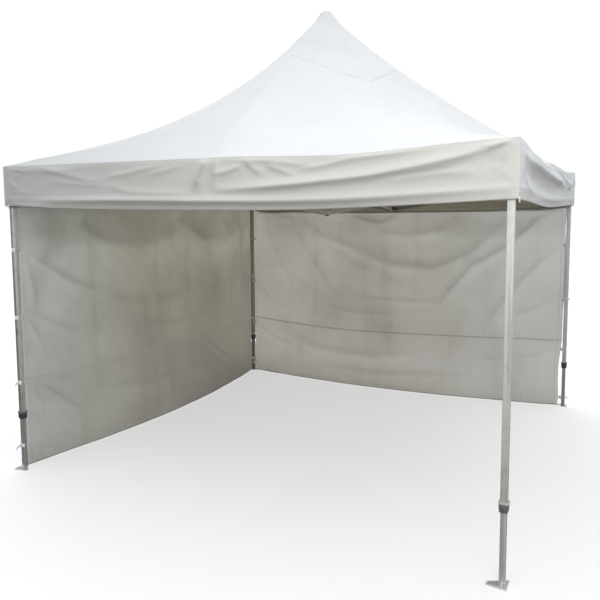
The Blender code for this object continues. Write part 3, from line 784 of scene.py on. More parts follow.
# Creases of the roof, as seen from above: (x, y) lines
roofFolds = (
    (((620, -1470), (800, -1300), (1020, -1120), (1200, -1020)), 6, 50, 40, 1.7),
    (((1420, -1400), (1200, -1300), (950, -1280), (700, -1300)), 8, 50, 35, 1.6),
    (((1400, -1420), (1300, -1180), (1280, -920), (1300, -700)), 8, 35, 50, 1.6),
    (((1380, -1380), (1140, -1120), (900, -950)), 7, 30, 30, 1.4),
    (((-1400, -1400), (-1150, -1280), (-850, -1250)), 7, 40, 50, 1.6),
    (((-1400, -1400), (-1270, -1100), (-1240, -800)), 7, 50, 40, 1.6),
    (((1400, 1400), (1150, 1270), (850, 1240)), 8, 40, 50, 1.6),
    (((1400, 1400), (1260, 1140), (1220, 820)), 7, 50, 40, 1.6),
    (((-1400, 1400), (-1120, 1270), (-800, 1220)), 7, 50, 40, 1.6),
    (((-1400, 1400), (-1260, 1100), (-1250, 750)), 7, 40, 50, 1.6),
    (((20, -1460), (20, -1000), (10, -400)), 10, 45, 45, 1.25),
    (((1460, 20), (1000, 20), (400, 10)), 10, 45, 45, 1.25),
    (((20, 1460), (20, 1000), (10, 400)), 10, 45, 45, 1.25),
    (((-1460, 20), (-1000, 20), (-400, 10)), 10, 45, 45, 1.25),
)


def sideOf(x, y):
    # The side that a place on the roof belongs to, its distance out and its lean to a hip
    if abs(y) >= abs(x):
        side = "front" if y < 0 else "back"
    else:
        side = "right" if x > 0 else "left"
    out = max(abs(x), abs(y), 1e-9)
    slant = Vector((x, y, 0)).dot(sides[side][1]) / out
    return side, out, min(max(slant, -1), 1)


def lineHeight(eave, sag, out):
    share = out / half
    depth, power = sag
    return apex - (apex - eave) * share - depth * sin(pi * share**power)


def roofHeight(side, out, slant):
    end = 1 if slant > 0 else 0
    lean = abs(slant)
    ridge = lineHeight(canopy["midEave"][side], canopy["ridgeSag"][side], out)
    hip = lineHeight(canopy["cornerEave"], canopy["hipSag"][sides[side][2][end]], out)
    height = ridge * (1 - lean) + hip * lean
    return height - canopy["eaveSag"][side][end] * (out / half) ** 4 * sin(pi * lean) ** 2


def roofSurface(x, y):
    # The roof lies flat on the pole's cap and runs straight from it to the panels
    side, out, slant = sideOf(x, y)
    crown = canopy["crown"]
    if out <= crown:
        return apex - canopy["cloth"] * 0.2 - canopy["crownDrop"] * (x * x + y * y)
    reach = hypot(x, y) / out * crown
    lift = apex - canopy["crownDrop"] * reach * reach - roofHeight(side, crown, slant)
    share = max(0.0, 1 - (out - crown) / canopy["crownBlend"])
    return roofHeight(side, out, slant) + lift * share ** 2


def ringAt(side, slant):
    # How far out the seam of the peak's panel lies, a straight line between two hips
    first, second = (canopy["ringSeam"][end] for end in sides[side][2])
    return first + (second - first) * (slant + 1) / 2


def packed(value):
    return value - canopy["packing"] / (2 * pi) * sin(2 * pi * value)


def patchAt(first, second):
    # Signed distance from the stitched edge of a corner's second layer, and how far it stands up
    distance = hypot(canopy["patchStretch"] * first, second) - canopy["patchRadius"]
    turn = atan2(second, first)
    waves = sin(canopy["puckerWaves"] * turn + 3 * sin(5 * turn))
    pucker = canopy["puckers"] * hump(distance, canopy["puckerWidth"]) * waves
    return distance, canopy["patchRise"] * (1 - ease(distance / canopy["patchStep"] + 0.5)) + pucker


def rimHeight(side, slant):
    return roofHeight(side, half, slant) - canopy["rounding"] * canopy["rimDrop"]


def shapeRoof(bm, reach):
    layers = bm.verts.layers.float
    xs, ys = (np.array([vert.co[axis] for vert in bm.verts]) for axis in (0, 1))
    creases = foldDepth(inMetres(roofFolds), xs, ys)
    fine = wrinkles(xs, ys, 3.0, 2.6, 1.6, 0.6)
    for vert, x, y, crease, wrinkle in zip(list(bm.verts), xs, ys, creases, fine):
        side, out, slant = sideOf(x, y)
        atEave = ease((reach - out) / canopy["eaveFade"])
        puff = canopy["eaveFold"] + (1 - canopy["eaveFold"]) * atEave
        fromRing = out - ringAt(side, slant)
        away = ease((out - 0.15) / 0.35) * atEave
        lift = crease * puff * ease((out - 0.1) / 0.2) + canopy["wrinkle"] * wrinkle * away
        lift -= canopy["ringDepth"] * hump(fromRing, canopy["ringWidth"])
        patch, raised = patchAt(half - abs(x), half - abs(y))
        vert.co.z = roofSurface(x, y) + lift + raised
        vert[layers["patchAside"]] = patch
        vert[layers["seamAside"]] = fromRing
        vert[layers["hemAside"]] = (abs(x) - abs(y)) / 2**0.5
        vert[layers["hemUp"]] = 1.0


def drawValance(bm, uv):
    # The valance is drawn down from the roof's rim, row by row
    layers = bm.verts.layers.float
    rim = [edge for edge in bm.edges if edge.is_boundary]
    rows, first = valance["rows"], valance["firstRow"]
    for share in [0.0, first] + [first + (1 - first) * (row + 1) / rows for row in range(rows)]:
        grown = bmesh.ops.extrude_edge_only(bm, edges=rim)["geom"]
        verts, edges, faces = (
            [item for item in grown if isinstance(item, kind)]
            for kind in (bmesh.types.BMVert, bmesh.types.BMEdge, bmesh.types.BMFace))
        rim = [edge for edge in edges if edge.is_boundary]
        for vert in verts:
            side, out, slant = sideOf(vert.co.x, vert.co.y)
            outward, run, ends = sides[side]
            along = slant * half
            top, edge = rimHeight(side, along / half), curveThrough(valance["edge"][side], along)
            vert.co = outward * half + run * along + upDirection * (top + (edge - top) * share)
            level = vert.co.z
            vert[layers["seamAside"]] = rimHeight(side, slant) - level
            vert[layers["hemUp"]] = level - edge
            fromEave = roofHeight(side, half, slant) - level
            vert[layers["patchAside"]] = patchAt(half - abs(along), fromEave)[0]
            vert[layers["hemAside"]] = level - edge - valance["hem"]
        for face in faces:
            middle = face.calc_center_median()
            run = sides[sideOf(middle.x, middle.y)[0]][1]
            for loop in face.loops:
                loop[uv].uv = (loop.vert.co.dot(run), loop.vert.co.z)


def shapeValance(bm):
    # Pushes the valance out and in along its folds
    hemUp = bm.verts.layers.float["hemUp"]
    creaseShare = bm.verts.layers.float["creaseShare"]
    groups = {side: [] for side in sides}
    for vert in bm.verts:
        if vert[hemUp] < 0.9 and max(abs(vert.co.x), abs(vert.co.y)) > half - 0.001:
            groups[sideOf(vert.co.x, vert.co.y)[0]].append(vert)
    for side, verts in groups.items():
        outward, run, ends = sides[side]
        along = np.array([vert.co.dot(run) for vert in verts])
        height = np.array([vert.co.z for vert in verts])
        above = np.array([vert[hemUp] for vert in verts])
        folds = valanceFolds[side]
        depth = valance["foldScale"][side] * foldDepth(folds, along, height)
        depth += 0.0022 * wrinkles(along, height, 17.0 + len(side), 9.0, 3.0, 0.25)
        depth += 0.0030 * wrinkles(along, height, 31.0 + len(side), 2.2, 1.5, 0.1)
        lines = creaseLines(folds, along, height + valance["creaseDown"])
        flare = np.clip(1 - above / valance["flareUp"], 0, 1) ** valance["flarePower"]
        flare = -valance["flare"] * flare * valance["flarePart"]
        roll = valance["hemRoll"] * hump(above - valance["hemRollUp"], valance["hemRollWidth"])
        roll -= valance["hemStitch"] * hump(above - valance["hem"], valance["hemStitchWidth"])
        for vert, push, line, a, lip, bump in zip(verts, depth, lines, along, flare, roll):
            vert[creaseShare] = line
            fromTop = roofHeight(side, half, a / half) - vert.co.z
            corner = ease((half - abs(a)) / valance["cornerFade"])
            least, more = valance["mostInward"]
            # The middle connector keeps the cloth from going in there
            beside = ease((abs(a) - 0.06) / 0.08)
            push = max(push + valance["push"], -least - more * corner * beside)
            push += patchAt(half - abs(a), fromTop)[1]
            share = ease(fromTop / valance["topFade"])
            total = (push + lip) * share * corner + bump * corner + valance["stand"]
            if side in walledSides:
                total = max(total, valance["leastStand"])  # It lies on the wall's upper edge there
            vert.co += outward * total
            if abs(abs(a) - half) < 0.002:
                vert.co += run * (valance["cornerWelt"] * (1 if a > 0 else -1))


def makeCanopy():
    bm = bmesh.new()
    bmesh.ops.create_grid(bm, x_segments=canopy["steps"], y_segments=canopy["steps"], size=1)
    for face in list(bm.faces):
        onHip = [vert for vert in face.verts if abs(abs(vert.co.x) - abs(vert.co.y)) < 1e-4]
        if len(onHip) == 2:
            bmesh.utils.face_split(face, onHip[0], onHip[1])
    uv = bm.loops.layers.uv.new("cloth")
    for name in ("seamAside", "hemAside", "hemUp", "patchAside", "creaseShare"):
        bm.verts.layers.float.new(name)
    reach = half - canopy["rounding"]
    for vert in bm.verts:
        vert.co = (packed(vert.co.x) * reach, packed(vert.co.y) * reach, 0)
    for face in bm.faces:
        for loop in face.loops:
            loop[uv].uv = loop.vert.co.xy
    shapeRoof(bm, reach)
    drawValance(bm, uv)
    shapeValance(bm)
    sheetArea = faceOut(bm, upDirection)
    piece = placePiece("canopyCloth", bm, roofCloth, "tent")
    smoothShade(piece)
    piece.data.materials.append(roofLining)
    addModifier(piece, "SOLIDIFY", thickness=canopy["cloth"], offset=-1.0, use_even_offset=True,
                material_offset=1)
    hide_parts("canopy")
    print("canopy made,", round(sheetArea, 2), "square metres")


makeCanopy()


# Side walls, hung behind the valance and tied to the legs

# The walls' upright edges, as (height, reach): the plain one is beside the far left leg,
# and each of the others is the wall's free edge, beside its other leg
wallEdges = {
    "plain": ((0.0, 1.436), (0.28, 1.436), (0.30, 1.4275), (0.37, 1.4275), (0.39, 1.4345),
              (1.38, 1.4345), (1.46, 1.466), (1.7, 1.470)),
    "left": ((0.0, 1.428), (0.13, 1.436), (0.28, 1.436), (0.30, 1.4275), (0.37, 1.4275),
             (0.39, 1.431), (0.54, 1.434), (1.7, 1.434)),
    "back": ((0.0, 1.405), (0.07, 1.414), (0.20, 1.408), (0.34, 1.408), (0.47, 1.422),
             (0.55, 1.428), (0.67, 1.428), (0.80, 1.429), (0.88, 1.434), (1.30, 1.434),
             (1.36, 1.431), (1.45, 1.427), (1.56, 1.434), (1.7, 1.434)),
}
walls = {
    "columns": 230, "rows": 132, "cloth": 0.0009, "edge": 1.434, "bottom": 0.003,
    "onValance": 0.0035,
    # The top edge, and how far each upright edge reaches along at each height
    "top": {
        "left": ((-1.44, 1.688), (0.0, 1.686), (1.44, 1.688)),
        "back": ((-1.44, 1.613), (-1.27, 1.613), (-0.92, 1.595), (-0.25, 1.590), (0.31, 1.589),
                 (0.92, 1.606), (1.44, 1.611)),
    },
    "reach": {
        "left": (wallEdges["plain"], wallEdges["left"]),
        "back": (wallEdges["back"], wallEdges["plain"]),
    },
    "drawnWidth": (0.1, 0.3),
    "seamHeight": {
        "left": ((-1.43, 0.504), (-0.5, 0.490), (0.3, 0.518), (1.1, 0.541), (1.43, 0.560)),
        "back": ((-1.43, 0.540), (-1.0, 0.528), (-0.33, 0.511), (0.5, 0.498), (1.43, 0.545)),
    },
    "lap": 0.0030, "lapStep": 0.006, "lapFade": 0.05,
    # Between these heights the cloth goes from the legs' line to the valance's inner face
    "bandAbove": 1.350,
    "bandFrom": 1.570, "bulgeTop": 1.20,
    "bulge": {"left": 0.13, "back": 0.14},
    "bulgePower": 1.6,
    "foldScale": {"left": 0.95, "back": 1.15},
    "foldTop": 1.585, "topFade": 0.08, "sideFade": 0.07, "atSide": 0.2, "creaseAside": 0.012,
    "seeds": {"left": 8.0, "back": 5.0},
    "hem": 0.030, "hemRise": 0.0012, "hemWidth": 0.008, "edgeTape": 0.024,
    # Both walls pass the far left leg on its outer side
    "outset": 0.012,
    "outsetFade": 0.25,
}

# Along runs from the far corner to the near one on the left wall, and from the right corner
# to the left one on the back wall. A positive rise pushes the cloth into the tent.
backWallFolds = (
    (((1300, 1560), (1020, 1545), (880, 1281), (740, 1071), (560, 824),
      (340, 606)), 12, 50, 30, 1.5),
    (((1360, 1560), (1290, 1500), (1200, 1277), (1100, 1061), (910, 785),
      (800, 620)), 9, 45, 28, 1.5),
    (((980, 1558), (670, 1347), (400, 1267), (80, 1111), (-390, 1086), (-710, 1228),
      (-1020, 1528)), 18, 100, 45, 1.6),
    (((800, 1480), (550, 1250), (250, 1120), (0, 1020), (-300, 1000)), -12, 50, 50, 1.8),
    (((430, 1575), (250, 1493), (80, 1480), (-80, 1571)), 10, 50, 28, 1.6),
    (((300, 1560), (100, 1400), (-150, 1360), (-450, 1420), (-620, 1550)), 8, 60, 40, 1.6),
    (((-1360, 1560), (-1230, 1509), (-980, 1271), (-710, 1115), (-470, 816),
      (-410, 656)), 14, 35, 55, 1.5),
    (((-1400, 1300), (-1150, 1050), (-950, 800), (-850, 580)), 8, 30, 50, 1.6),
    (((300, 800), (0, 790), (-450, 792)), 7, 30, 14, 1.5),
    (((650, 700), (350, 655), (-100, 660)), 6, 30, 20, 1.6),
    (((1400, 870), (1220, 720), (1050, 620)), 9, 30, 20, 1.6),
    (((1400, 470), (1200, 360), (950, 280)), 10, 35, 25, 1.6),
    (((-1400, 870), (-1180, 760), (-900, 700)), 8, 25, 30, 1.6),
    (((-1400, 470), (-1200, 380), (-800, 330)), 8, 25, 35, 1.6),
    (((1100, 420), (700, 300), (200, 270), (-300, 330)), 12, 50, 35, 1.7),
    (((600, 140), (100, 120), (-500, 170), (-1000, 160)), 10, 40, 30, 1.7),
)
leftWallFolds = (
    (((1410, 1378), (1220, 1260), (980, 1120), (700, 1030)), 12, 50, 30, 1.6),
    (((1410, 1370), (1340, 1180), (1300, 980)), 8, 30, 30, 1.6),
    (((1400, 975), (1200, 880), (950, 780)), 11, 40, 26, 1.6),
    (((1400, 960), (1300, 800), (1260, 660)), 8, 30, 25, 1.6),
    (((1400, 545), (1270, 466), (1110, 343), (980, 250)), 16, 35, 20, 1.4),
    (((1400, 530), (1330, 410), (1300, 300)), 10, 22, 20, 1.4),
    (((1400, 550), (1200, 505), (900, 470)), 7, 20, 16, 1.5),
    (((1400, 175), (1240, 150), (1050, 130)), 16, 20, 16, 1.5),
    (((1400, 150), (1270, 95), (1150, 60)), 12, 16, 16, 1.5),
    (((1000, 1560), (700, 1400), (300, 1330), (-100, 1400), (-450, 1560)), 11, 90, 50, 1.7),
    (((-200, 1560), (-550, 1360), (-950, 1330), (-1300, 1500)), 11, 80, 50, 1.7),
    (((-1380, 1500), (-1150, 1200), (-1000, 950), (-920, 700)), 10, 30, 50, 1.6),
    (((-1400, 1150), (-1220, 950), (-1120, 720)), 9, 30, 40, 1.6),
    (((700, 1000), (350, 900), (-100, 880), (-500, 950)), 9, 70, 50, 1.8),
    (((300, 720), (-100, 680), (-600, 700)), 7, 40, 30, 1.7),
    (((-510, 460), (-830, 262), (-1000, 150)), 12, 40, 26, 1.5),
    (((-1380, 460), (-1300, 330), (-1120, 220)), 10, 28, 24, 1.5),
    (((800, 360), (300, 270), (-200, 260)), 12, 50, 35, 1.7),
    (((700, 130), (200, 110), (-400, 140)), 8, 40, 30, 1.7),
)
wallFolds = {"left": inMetres(leftWallFolds), "back": inMetres(backWallFolds)}


def nearValance(height):
    return ease((height - walls["bandAbove"]) / (walls["bandFrom"] - walls["bandAbove"]))


def wallInward(side, along, height):
    # How far in from the legs' line the wall hangs, as a curve like the solid wall's
    onValance = half - walls["onValance"] - legLine
    lower = max(0.0, 1 - height / walls["bulgeTop"]) ** walls["bulgePower"]
    middle = cos(pi * along / (2 * walls["edge"]))
    return walls["bulge"][side] * lower * middle - onValance * nearValance(height)


def drawnBack(side, a, h, fromEdge):
    # The edge draws back from the leg between its ties
    line = walls["reach"][side][1 if a > 0 else 0]
    back = walls["edge"] - np.interp(h, *zip(*line))
    narrow, wide = walls["drawnWidth"]
    return back * max(0.0, 1 - fromEdge / (wide if back > 0 else narrow)) ** 2


def makeWall(side):
    outward, run, ends = sides[side]
    bm = bmesh.new()
    bmesh.ops.create_grid(bm, x_segments=walls["columns"], y_segments=walls["rows"], size=1)
    uv = bm.loops.layers.uv.new("cloth")
    names = ("seamAside", "hemAside", "hemUp", "tapeAside", "creaseShare")
    for name in names:
        bm.verts.layers.float.new(name)
    layers = {name: bm.verts.layers.float[name] for name in names}
    edge, bottom = walls["edge"], walls["bottom"]
    top = walls["top"][side][-1][1]
    for vert in bm.verts:
        topHere = curveThrough(walls["top"][side], vert.co.x * edge)
        vert.co = (vert.co.x * edge, bottom + (vert.co.y + 1) / 2 * (topHere - bottom), 0)
    for face in bm.faces:
        for loop in face.loops:
            loop[uv].uv = loop.vert.co.xy
    verts = list(bm.verts)
    along, height = (np.array([vert.co[axis] for vert in verts]) for axis in (0, 1))
    folds, seed, aside = wallFolds[side], walls["seeds"][side], walls["creaseAside"]
    depth = walls["foldScale"][side] * foldDepth(folds, along, height)
    depth += 0.0060 * wrinkles(along, height, seed, 3.4, 2.2, 1.2)
    depth += 0.0018 * wrinkles(along, height, seed + 10, 12.0, 2.5, 0.4)
    lines = creaseLines(folds, along - aside, height - aside)
    for vert, a, h, push, line in zip(verts, along, height, depth, lines):
        fromEdge = edge - abs(a)
        aboveSeam = h - curveThrough(walls["seamHeight"][side], a)
        vert[layers["creaseShare"]] = line
        vert[layers["seamAside"]] = aboveSeam
        vert[layers["hemAside"]] = min(fromEdge, h - bottom, top - h) - walls["hem"]
        vert[layers["hemUp"]] = h - bottom
        vert[layers["tapeAside"]] = walls["edgeTape"] - fromEdge
        calm = walls["atSide"] + (1 - walls["atSide"]) * ease(fromEdge / walls["sideFade"])
        calm = ease((walls["foldTop"] - h) / walls["topFade"]) * calm
        lap = walls["lap"] * ease((aboveSeam + walls["lapStep"] / 2) / walls["lapStep"])
        lap *= max(0.0, 1 - max(0.0, aboveSeam) / walls["lapFade"])
        ridge = lap + walls["hemRise"] * hump(vert[layers["hemAside"]], walls["hemWidth"])
        inward = wallInward(side, a, h) + push * calm + ridge * calm
        if (a < 0) == (side == "left"):
            atLeg = ease(1 - fromEdge / walls["outsetFade"])
            inward -= walls["outset"] * atLeg * (1 - nearValance(h))
        place = a - drawnBack(side, a, h, fromEdge) * (1 if a > 0 else -1)
        vert.co = outward * (legLine - inward) + run * place + upDirection * h
    sheetArea = faceOut(bm, outward)
    piece = placePiece(f"{side}WallCloth", bm, wallCloths[side], "tent")
    smoothShade(piece)
    thicken(piece, walls["cloth"])
    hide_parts(f"wall_{side}")


# Webbing ties that hold the walls to the legs

ties = {
    "width": 0.024, "cloth": 0.0014, "gap": 0.0006, "lowGap": 0.0022, "upperFrom": 0.37,
    "bend": 0.006, "onWall": 0.018, "inward": 0.0035, "lowInward": 0.0030, "steps": 9,
    "rows": 5, "lean": 0.004, "offLeg": 0.004, "offSide": 0.55, "sewnFrom": 0.006,
    "tailSteps": 7, "tailWidth": 0.36, "tailNarrow": 0.35, "tailRoot": 0.2, "tailOut": 0.002,
    "tailReach": 0.75, "tailCurl": 1.4, "tailDrop": 0.45, "tailSway": 0.006,
    # The side, height and length of the loose end of each band
    "bands": {
        "front_left": (("left", 1.372, 0.0), ("left", 0.951, 0.0), ("left", 0.544, 0.030),
                       ("left", 0.145, 0.055)),
        "back_right": (("back", 1.306, 0.0), ("back", 0.878, 0.012), ("back", 0.471, 0.0),
                       ("back", 0.075, 0.020)),
        "back_left": (("left", 1.370, 0.0), ("back", 1.330, 0.0), ("left", 0.960, 0.0),
                      ("back", 0.915, 0.0), ("left", 0.535, 0.0), ("back", 0.490, 0.0),
                      ("left", 0.120, 0.0), ("back", 0.080, 0.0)),
    },
}


def tiePath(sideways, outward, radius):
    # Once round the leg from the wall's inner face and back to it
    bend, steps = ties["bend"], ties["steps"]
    corner = radius - bend
    path = []
    for x, y, start in ((-1, -1, 1.5), (-1, 1, 1.0), (1, 1, 0.5), (1, -1, 2.0)):
        for index in range(steps + 1):
            angle = pi * (start - 0.5 * index / steps)
            path.append(sideways * (x * corner + bend * cos(angle))
                        + outward * (y * corner + bend * sin(angle)))
    return path


def tieTail(bm, root, away, height, tail):
    # The loose end hangs from the outer face
    grid = []
    for step in range(ties["tailSteps"]):
        share = step / (ties["tailSteps"] - 1)
        reach = ties["tailOut"] + tail * ties["tailReach"] * sin(share * ties["tailCurl"])
        place = root - away[0] * reach - upDirection * tail * ties["tailDrop"] * share**2
        place += away[1] * ties["tailSway"] * sin(3 * share)
        narrow = ties["width"] * ties["tailWidth"] * (1 - ties["tailNarrow"] * share)
        levels = [height + place.z + narrow * (row / 2 - 1) for row in range(ties["rows"])]
        grid.append([bm.verts.new((place.x, place.y, level)) for level in levels])
    addStrip(bm, grid)


def makeTie(corner, index, side, height, tail):
    outward, run, ends = sides[side]
    centre = Vector((*corners[corner], 0)) * legLine
    toWall = -run if corner == ends[1] else run
    onUpper = height > ties["upperFrom"]
    size = legs["outerSize"] if onUpper else legs["innerSize"]
    radius = size / 2 + (ties["gap"] if onUpper else ties["lowGap"]) + ties["cloth"] / 2
    # The band's two ends lie on the wall's inner face, sewn to its hem
    inner = -(ties["inward"] if onUpper else ties["lowInward"])
    if corner == "back_left":
        inner += walls["outset"]
    places = [centre + place for place in tiePath(toWall, outward, radius)]
    places.append(centre + toWall * (radius + ties["offLeg"])
                  + outward * (-radius * ties["offSide"]))
    for reach in (radius + ties["sewnFrom"], radius + ties["onWall"]):
        places.append(centre + (toWall * reach + outward * inner))
    rows = ties["rows"]
    levels = [height + ties["width"] * (row / (rows - 1) - 0.5) for row in range(rows)]
    bm = bmesh.new()
    grid = []
    for number, place in enumerate(places):
        lean = ties["lean"] * sin(2.2 * number / len(places) + index)
        grid.append([bm.verts.new((place.x, place.y, level + lean)) for level in levels])
    addStrip(bm, grid)
    if tail:
        root = centre - toWall * radius + outward * radius * ties["tailRoot"]
        tieTail(bm, root, (toWall, outward), height, tail)
    webbing = shadedWebbing if corner == "back_left" else whiteWebbing
    piece = finishPiece(f"tie_{corner}_{index + 1}", bm, webbing, "tent")
    smoothShade(piece)
    thicken(piece, ties["cloth"])
    return piece


# Legs: tubes with rounded edges, their collars, feet and locking buttons

legs = {
    "outerSize": 0.030, "outerWall": 0.0012, "innerSize": 0.025, "edgeRadius": 0.0028,
    "innerEdgeRadius": 0.0016,
    # Each leg's upper and lower steels are lit and shaded copies, as painted light and shade on
    # that leg
    "steel": {
        "front_right": "painted", "front_left": "shaded",
        "back_left": "olive", "back_right": "bluish",
    },
    "lowerSteel": {
        "front_right": "plated", "front_left": "dimShaded", "back_left": "deepShaded", "back_right": "plated",
    },
    # How much painted shade darkens one side of each leg, and which side that is
    "soilAndShade": {
        "front_right": (0.0, (0, -1)), "front_left": (0.85, (-1, 0)),
        "back_left": (0.30, (0, -1)), "back_right": (0.1, (0, -1)),
    },
    "shadeFrom": 0.38, "buttonHeight": 0.385, "buttonRadius": 0.0045, "buttonOut": 0.0030,
    "buttonSunk": 0.0006, "footTop": 0.012, "footRim": 0.0034, "gussetTop": 0.06,
    "rimHighlight": 0.75, "topHighlight": 0.7,
}


def squareRing(centre, wide, radius, level, steps):
    # The outline of a square with rounded corners
    points = []
    for index, (sx, sy) in enumerate(((1, 1), (-1, 1), (-1, -1), (1, -1))):
        for step in range(steps + 1):
            angle = pi / 2 * (index + step / steps)
            x = sx * (wide - radius) + radius * cos(angle)
            y = sy * (wide - radius) + radius * sin(angle)
            points.append(Vector((centre[0] + x, centre[1] + y, level)))
    return points


def loftSquare(bm, centre, sections, steps=4):
    # A closed square sleeve, from rings of (half width, corner radius, height)
    place = bm.verts.layers.int.new("ringPlace")
    verts = [bm.verts.new(point) for point in squareRing(centre, *sections[0], steps)]
    for index, vert in enumerate(verts):
        vert[place] = index
    ring = [bm.edges.new(pair) for pair in zip(verts, verts[1:] + verts[:1])]
    firstRing = ring
    for section in sections[1:]:
        grown = bmesh.ops.extrude_edge_only(bm, edges=ring)["geom"]
        verts = [item for item in grown if isinstance(item, bmesh.types.BMVert)]
        points = squareRing(centre, *section, steps)
        for vert in verts:
            vert.co = points[vert[place]]
        fresh = set(verts)
        ring = [edge for edge in bm.edges if edge.verts[0] in fresh and edge.verts[1] in fresh]
    bmesh.ops.bridge_loops(bm, edges=firstRing + ring)


tiePieces = {side: [] for side in walledSides}
for corner, bands in ties["bands"].items():
    for index, (side, height, tail) in enumerate(bands):
        tiePieces[side].append(makeTie(corner, index, side, height, tail))
for side in walledSides:
    makeWall(side)
print("walls and ties made")


def shadeSide(bm, corner, centre):
    # One side of the leg is darker than the others, as painted shade
    share, (sx, sy) = legs["soilAndShade"][corner]
    sideShade = bm.verts.layers.float.new("sideShade")
    for vert in bm.verts:
        aside = (vert.co.x - centre[0]) * sx + (vert.co.y - centre[1]) * sy
        vert[sideShade] = share if aside > legs["innerSize"] * legs["shadeFrom"] else 0.0


def makeLeg(corner):
    low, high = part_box(f"upper_leg_{corner}")
    centre = ((low.x + high.x) / 2, (low.y + high.y) / 2)
    wide, inside = legs["outerSize"] / 2, legs["outerSize"] / 2 - legs["outerWall"]
    outer, inner = legs["edgeRadius"], legs["innerEdgeRadius"]
    bm = bmesh.new()
    loftSquare(bm, centre, (
        (wide, outer, low.z), (wide, outer, high.z),
        (inside, inner, high.z), (inside, inner, low.z),
    ))
    shadeSide(bm, corner, centre)
    steel = steels[legs["steel"][corner]]
    upper = finishPiece(f"upperLegTube_{corner}", bm, steel, "tent")
    smoothShade(upper)
    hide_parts(f"upper_leg_{corner}")

    # The spring button that locks the leg stands out of its inner side
    bm = bmesh.new()
    radius = legs["buttonRadius"]
    bmesh.ops.create_uvsphere(bm, u_segments=16, v_segments=10, radius=radius)
    bmesh.ops.scale(bm, vec=(legs["buttonOut"] / radius, 1, 1), verts=bm.verts)
    place = Vector((*centre, legs["buttonHeight"]))
    place += Vector((-corners[corner][0], 0, 0)) * (wide - legs["buttonSunk"])
    bmesh.ops.translate(bm, vec=place, verts=bm.verts)
    # The button's darker steel is painted shade
    button = finishPiece(f"lockButton_{corner}", bm, steels["deepShaded"], "tent")
    smoothShade(button)


collars = {
    "tabWidth": 0.014, "tabReach": 0.0288, "tabRoot": 0.0175, "tabLow": 0.327, "tabHigh": 0.356,
    "tabSlope": 0.005, "tabDrop": 0.004, "tabBevel": 0.0014, "rimFrom": 0.3515,
    "rimReach": 0.0216,
    # The plastic of the sleeve and of its rim; a lighter rim is a painted highlight on the collar's
    # top
    "looks": {
        "front_right": ("scuffed", "rim"), "front_left": ("black", "scuffed"),
        "back_left": ("black", "black"), "back_right": ("black", "black"),
    },
    # Half width, corner radius and height, up the outside and down the inside
    "sections": (
        (0.0150, 0.0040, 0.3152), (0.0172, 0.0050, 0.3165), (0.0187, 0.0055, 0.3210),
        (0.0196, 0.0050, 0.3340), (0.0200, 0.0050, 0.3490), (0.0205, 0.0045, 0.3515),
        (0.0214, 0.0045, 0.3530), (0.0215, 0.0045, 0.3590), (0.0209, 0.0040, 0.3618),
        (0.0160, 0.0030, 0.3618), (0.0153, 0.0030, 0.3600), (0.0153, 0.0030, 0.3302),
        (0.0131, 0.0020, 0.3302), (0.0131, 0.0020, 0.3160),
    ),
}


def makeCollar(corner):
    sx, sy = corners[corner]
    centre = (sx * legLine, sy * legLine)
    bm = bmesh.new()
    loftSquare(bm, centre, collars["sections"], 5)
    # The pull tab slopes in below and down in front
    tab = bmesh.ops.create_cube(bm, size=1)["verts"]
    for vert in tab:
        reach, level = collars["tabRoot"], collars["tabLow"]
        high, out = vert.co.z > 0, vert.co.y * sy > 0
        if out:
            reach = collars["tabReach"] - (0.0 if high else collars["tabSlope"])
        if high:
            level = collars["tabHigh"] - (collars["tabDrop"] if out else 0.0)
        vert.co = (centre[0] + vert.co.x * collars["tabWidth"], centre[1] + sy * reach, level)
    edges = list({edge for vert in tab for edge in vert.link_edges})
    bmesh.ops.bevel(bm, geom=edges, offset=collars["tabBevel"], offset_type="OFFSET", segments=2,
                    profile=0.5, affect="EDGES", material=-1)
    body, rim = (plastics[name] for name in collars["looks"][corner])
    collar = finishPiece(f"legCollar_{corner}", bm, body, "tent")
    collar.data.materials.append(rim)
    # Top faces beside the leg take the rim's plastic, a painted highlight where it is lighter
    for face in collar.data.polygons:
        beside = abs(face.center.y - centre[1]) < collars["rimReach"]
        face.material_index = int(face.center.z > collars["rimFrom"] and beside)
    smoothShade(collar, 0.7)
    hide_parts(f"leg_collar_{corner}")


pole = {
    "radius": 0.0125, "endEdge": 0.0012, "capRadius": 0.028, "capHeight": 0.017,
    "capGap": 0.0004, "capLip": 0.004, "capEdge": 0.001, "lipHeight": 0.002, "segments": 40,
    "knobRadius": 0.0150, "knobHeight": 0.014, "knobBelow": 0.006, "knobClear": 0.0005,
}


def makePole():
    # The centre pole with the domed cap that carries the peak
    low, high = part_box("centre_pole")
    radius, cap, edge = pole["radius"], pole["capRadius"], pole["endEdge"]
    capLow, capTop = high.z - pole["capHeight"], high.z - pole["capGap"]
    profile = [(0, low.z), (radius - edge, low.z), (radius, low.z + edge), (radius, capLow),
               (cap - pole["capLip"], capLow), (cap - pole["capEdge"], capLow + pole["lipHeight"])]
    drop = canopy["crownDrop"] * cap * cap
    for share in (1.0, 0.85, 0.7, 0.5, 0.3, 0.15, 0.0):
        profile.append((cap * share, capTop - drop * share * share))
    piece = turnedPiece("centrePole", profile, pole["segments"], steels["painted"],
                        0.6)
    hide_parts("centre_pole")

    # The black end cap below the lower hub, from (share of its radius, share of its height)
    bottom, wide, tall = low.z - pole["knobBelow"], pole["knobRadius"], pole["knobHeight"]
    shares = ((0, 0), (0.6, 0), (0.9, 0.2), (1, 0.5), (0.9, 0.85))
    profile = [(wide * out, bottom + tall * up) for out, up in shares]
    profile += [(radius + pole["knobClear"], bottom + tall), (0, bottom + tall)]
    turnedPiece("poleKnob", profile, pole["segments"], plastics["black"], 0.8)


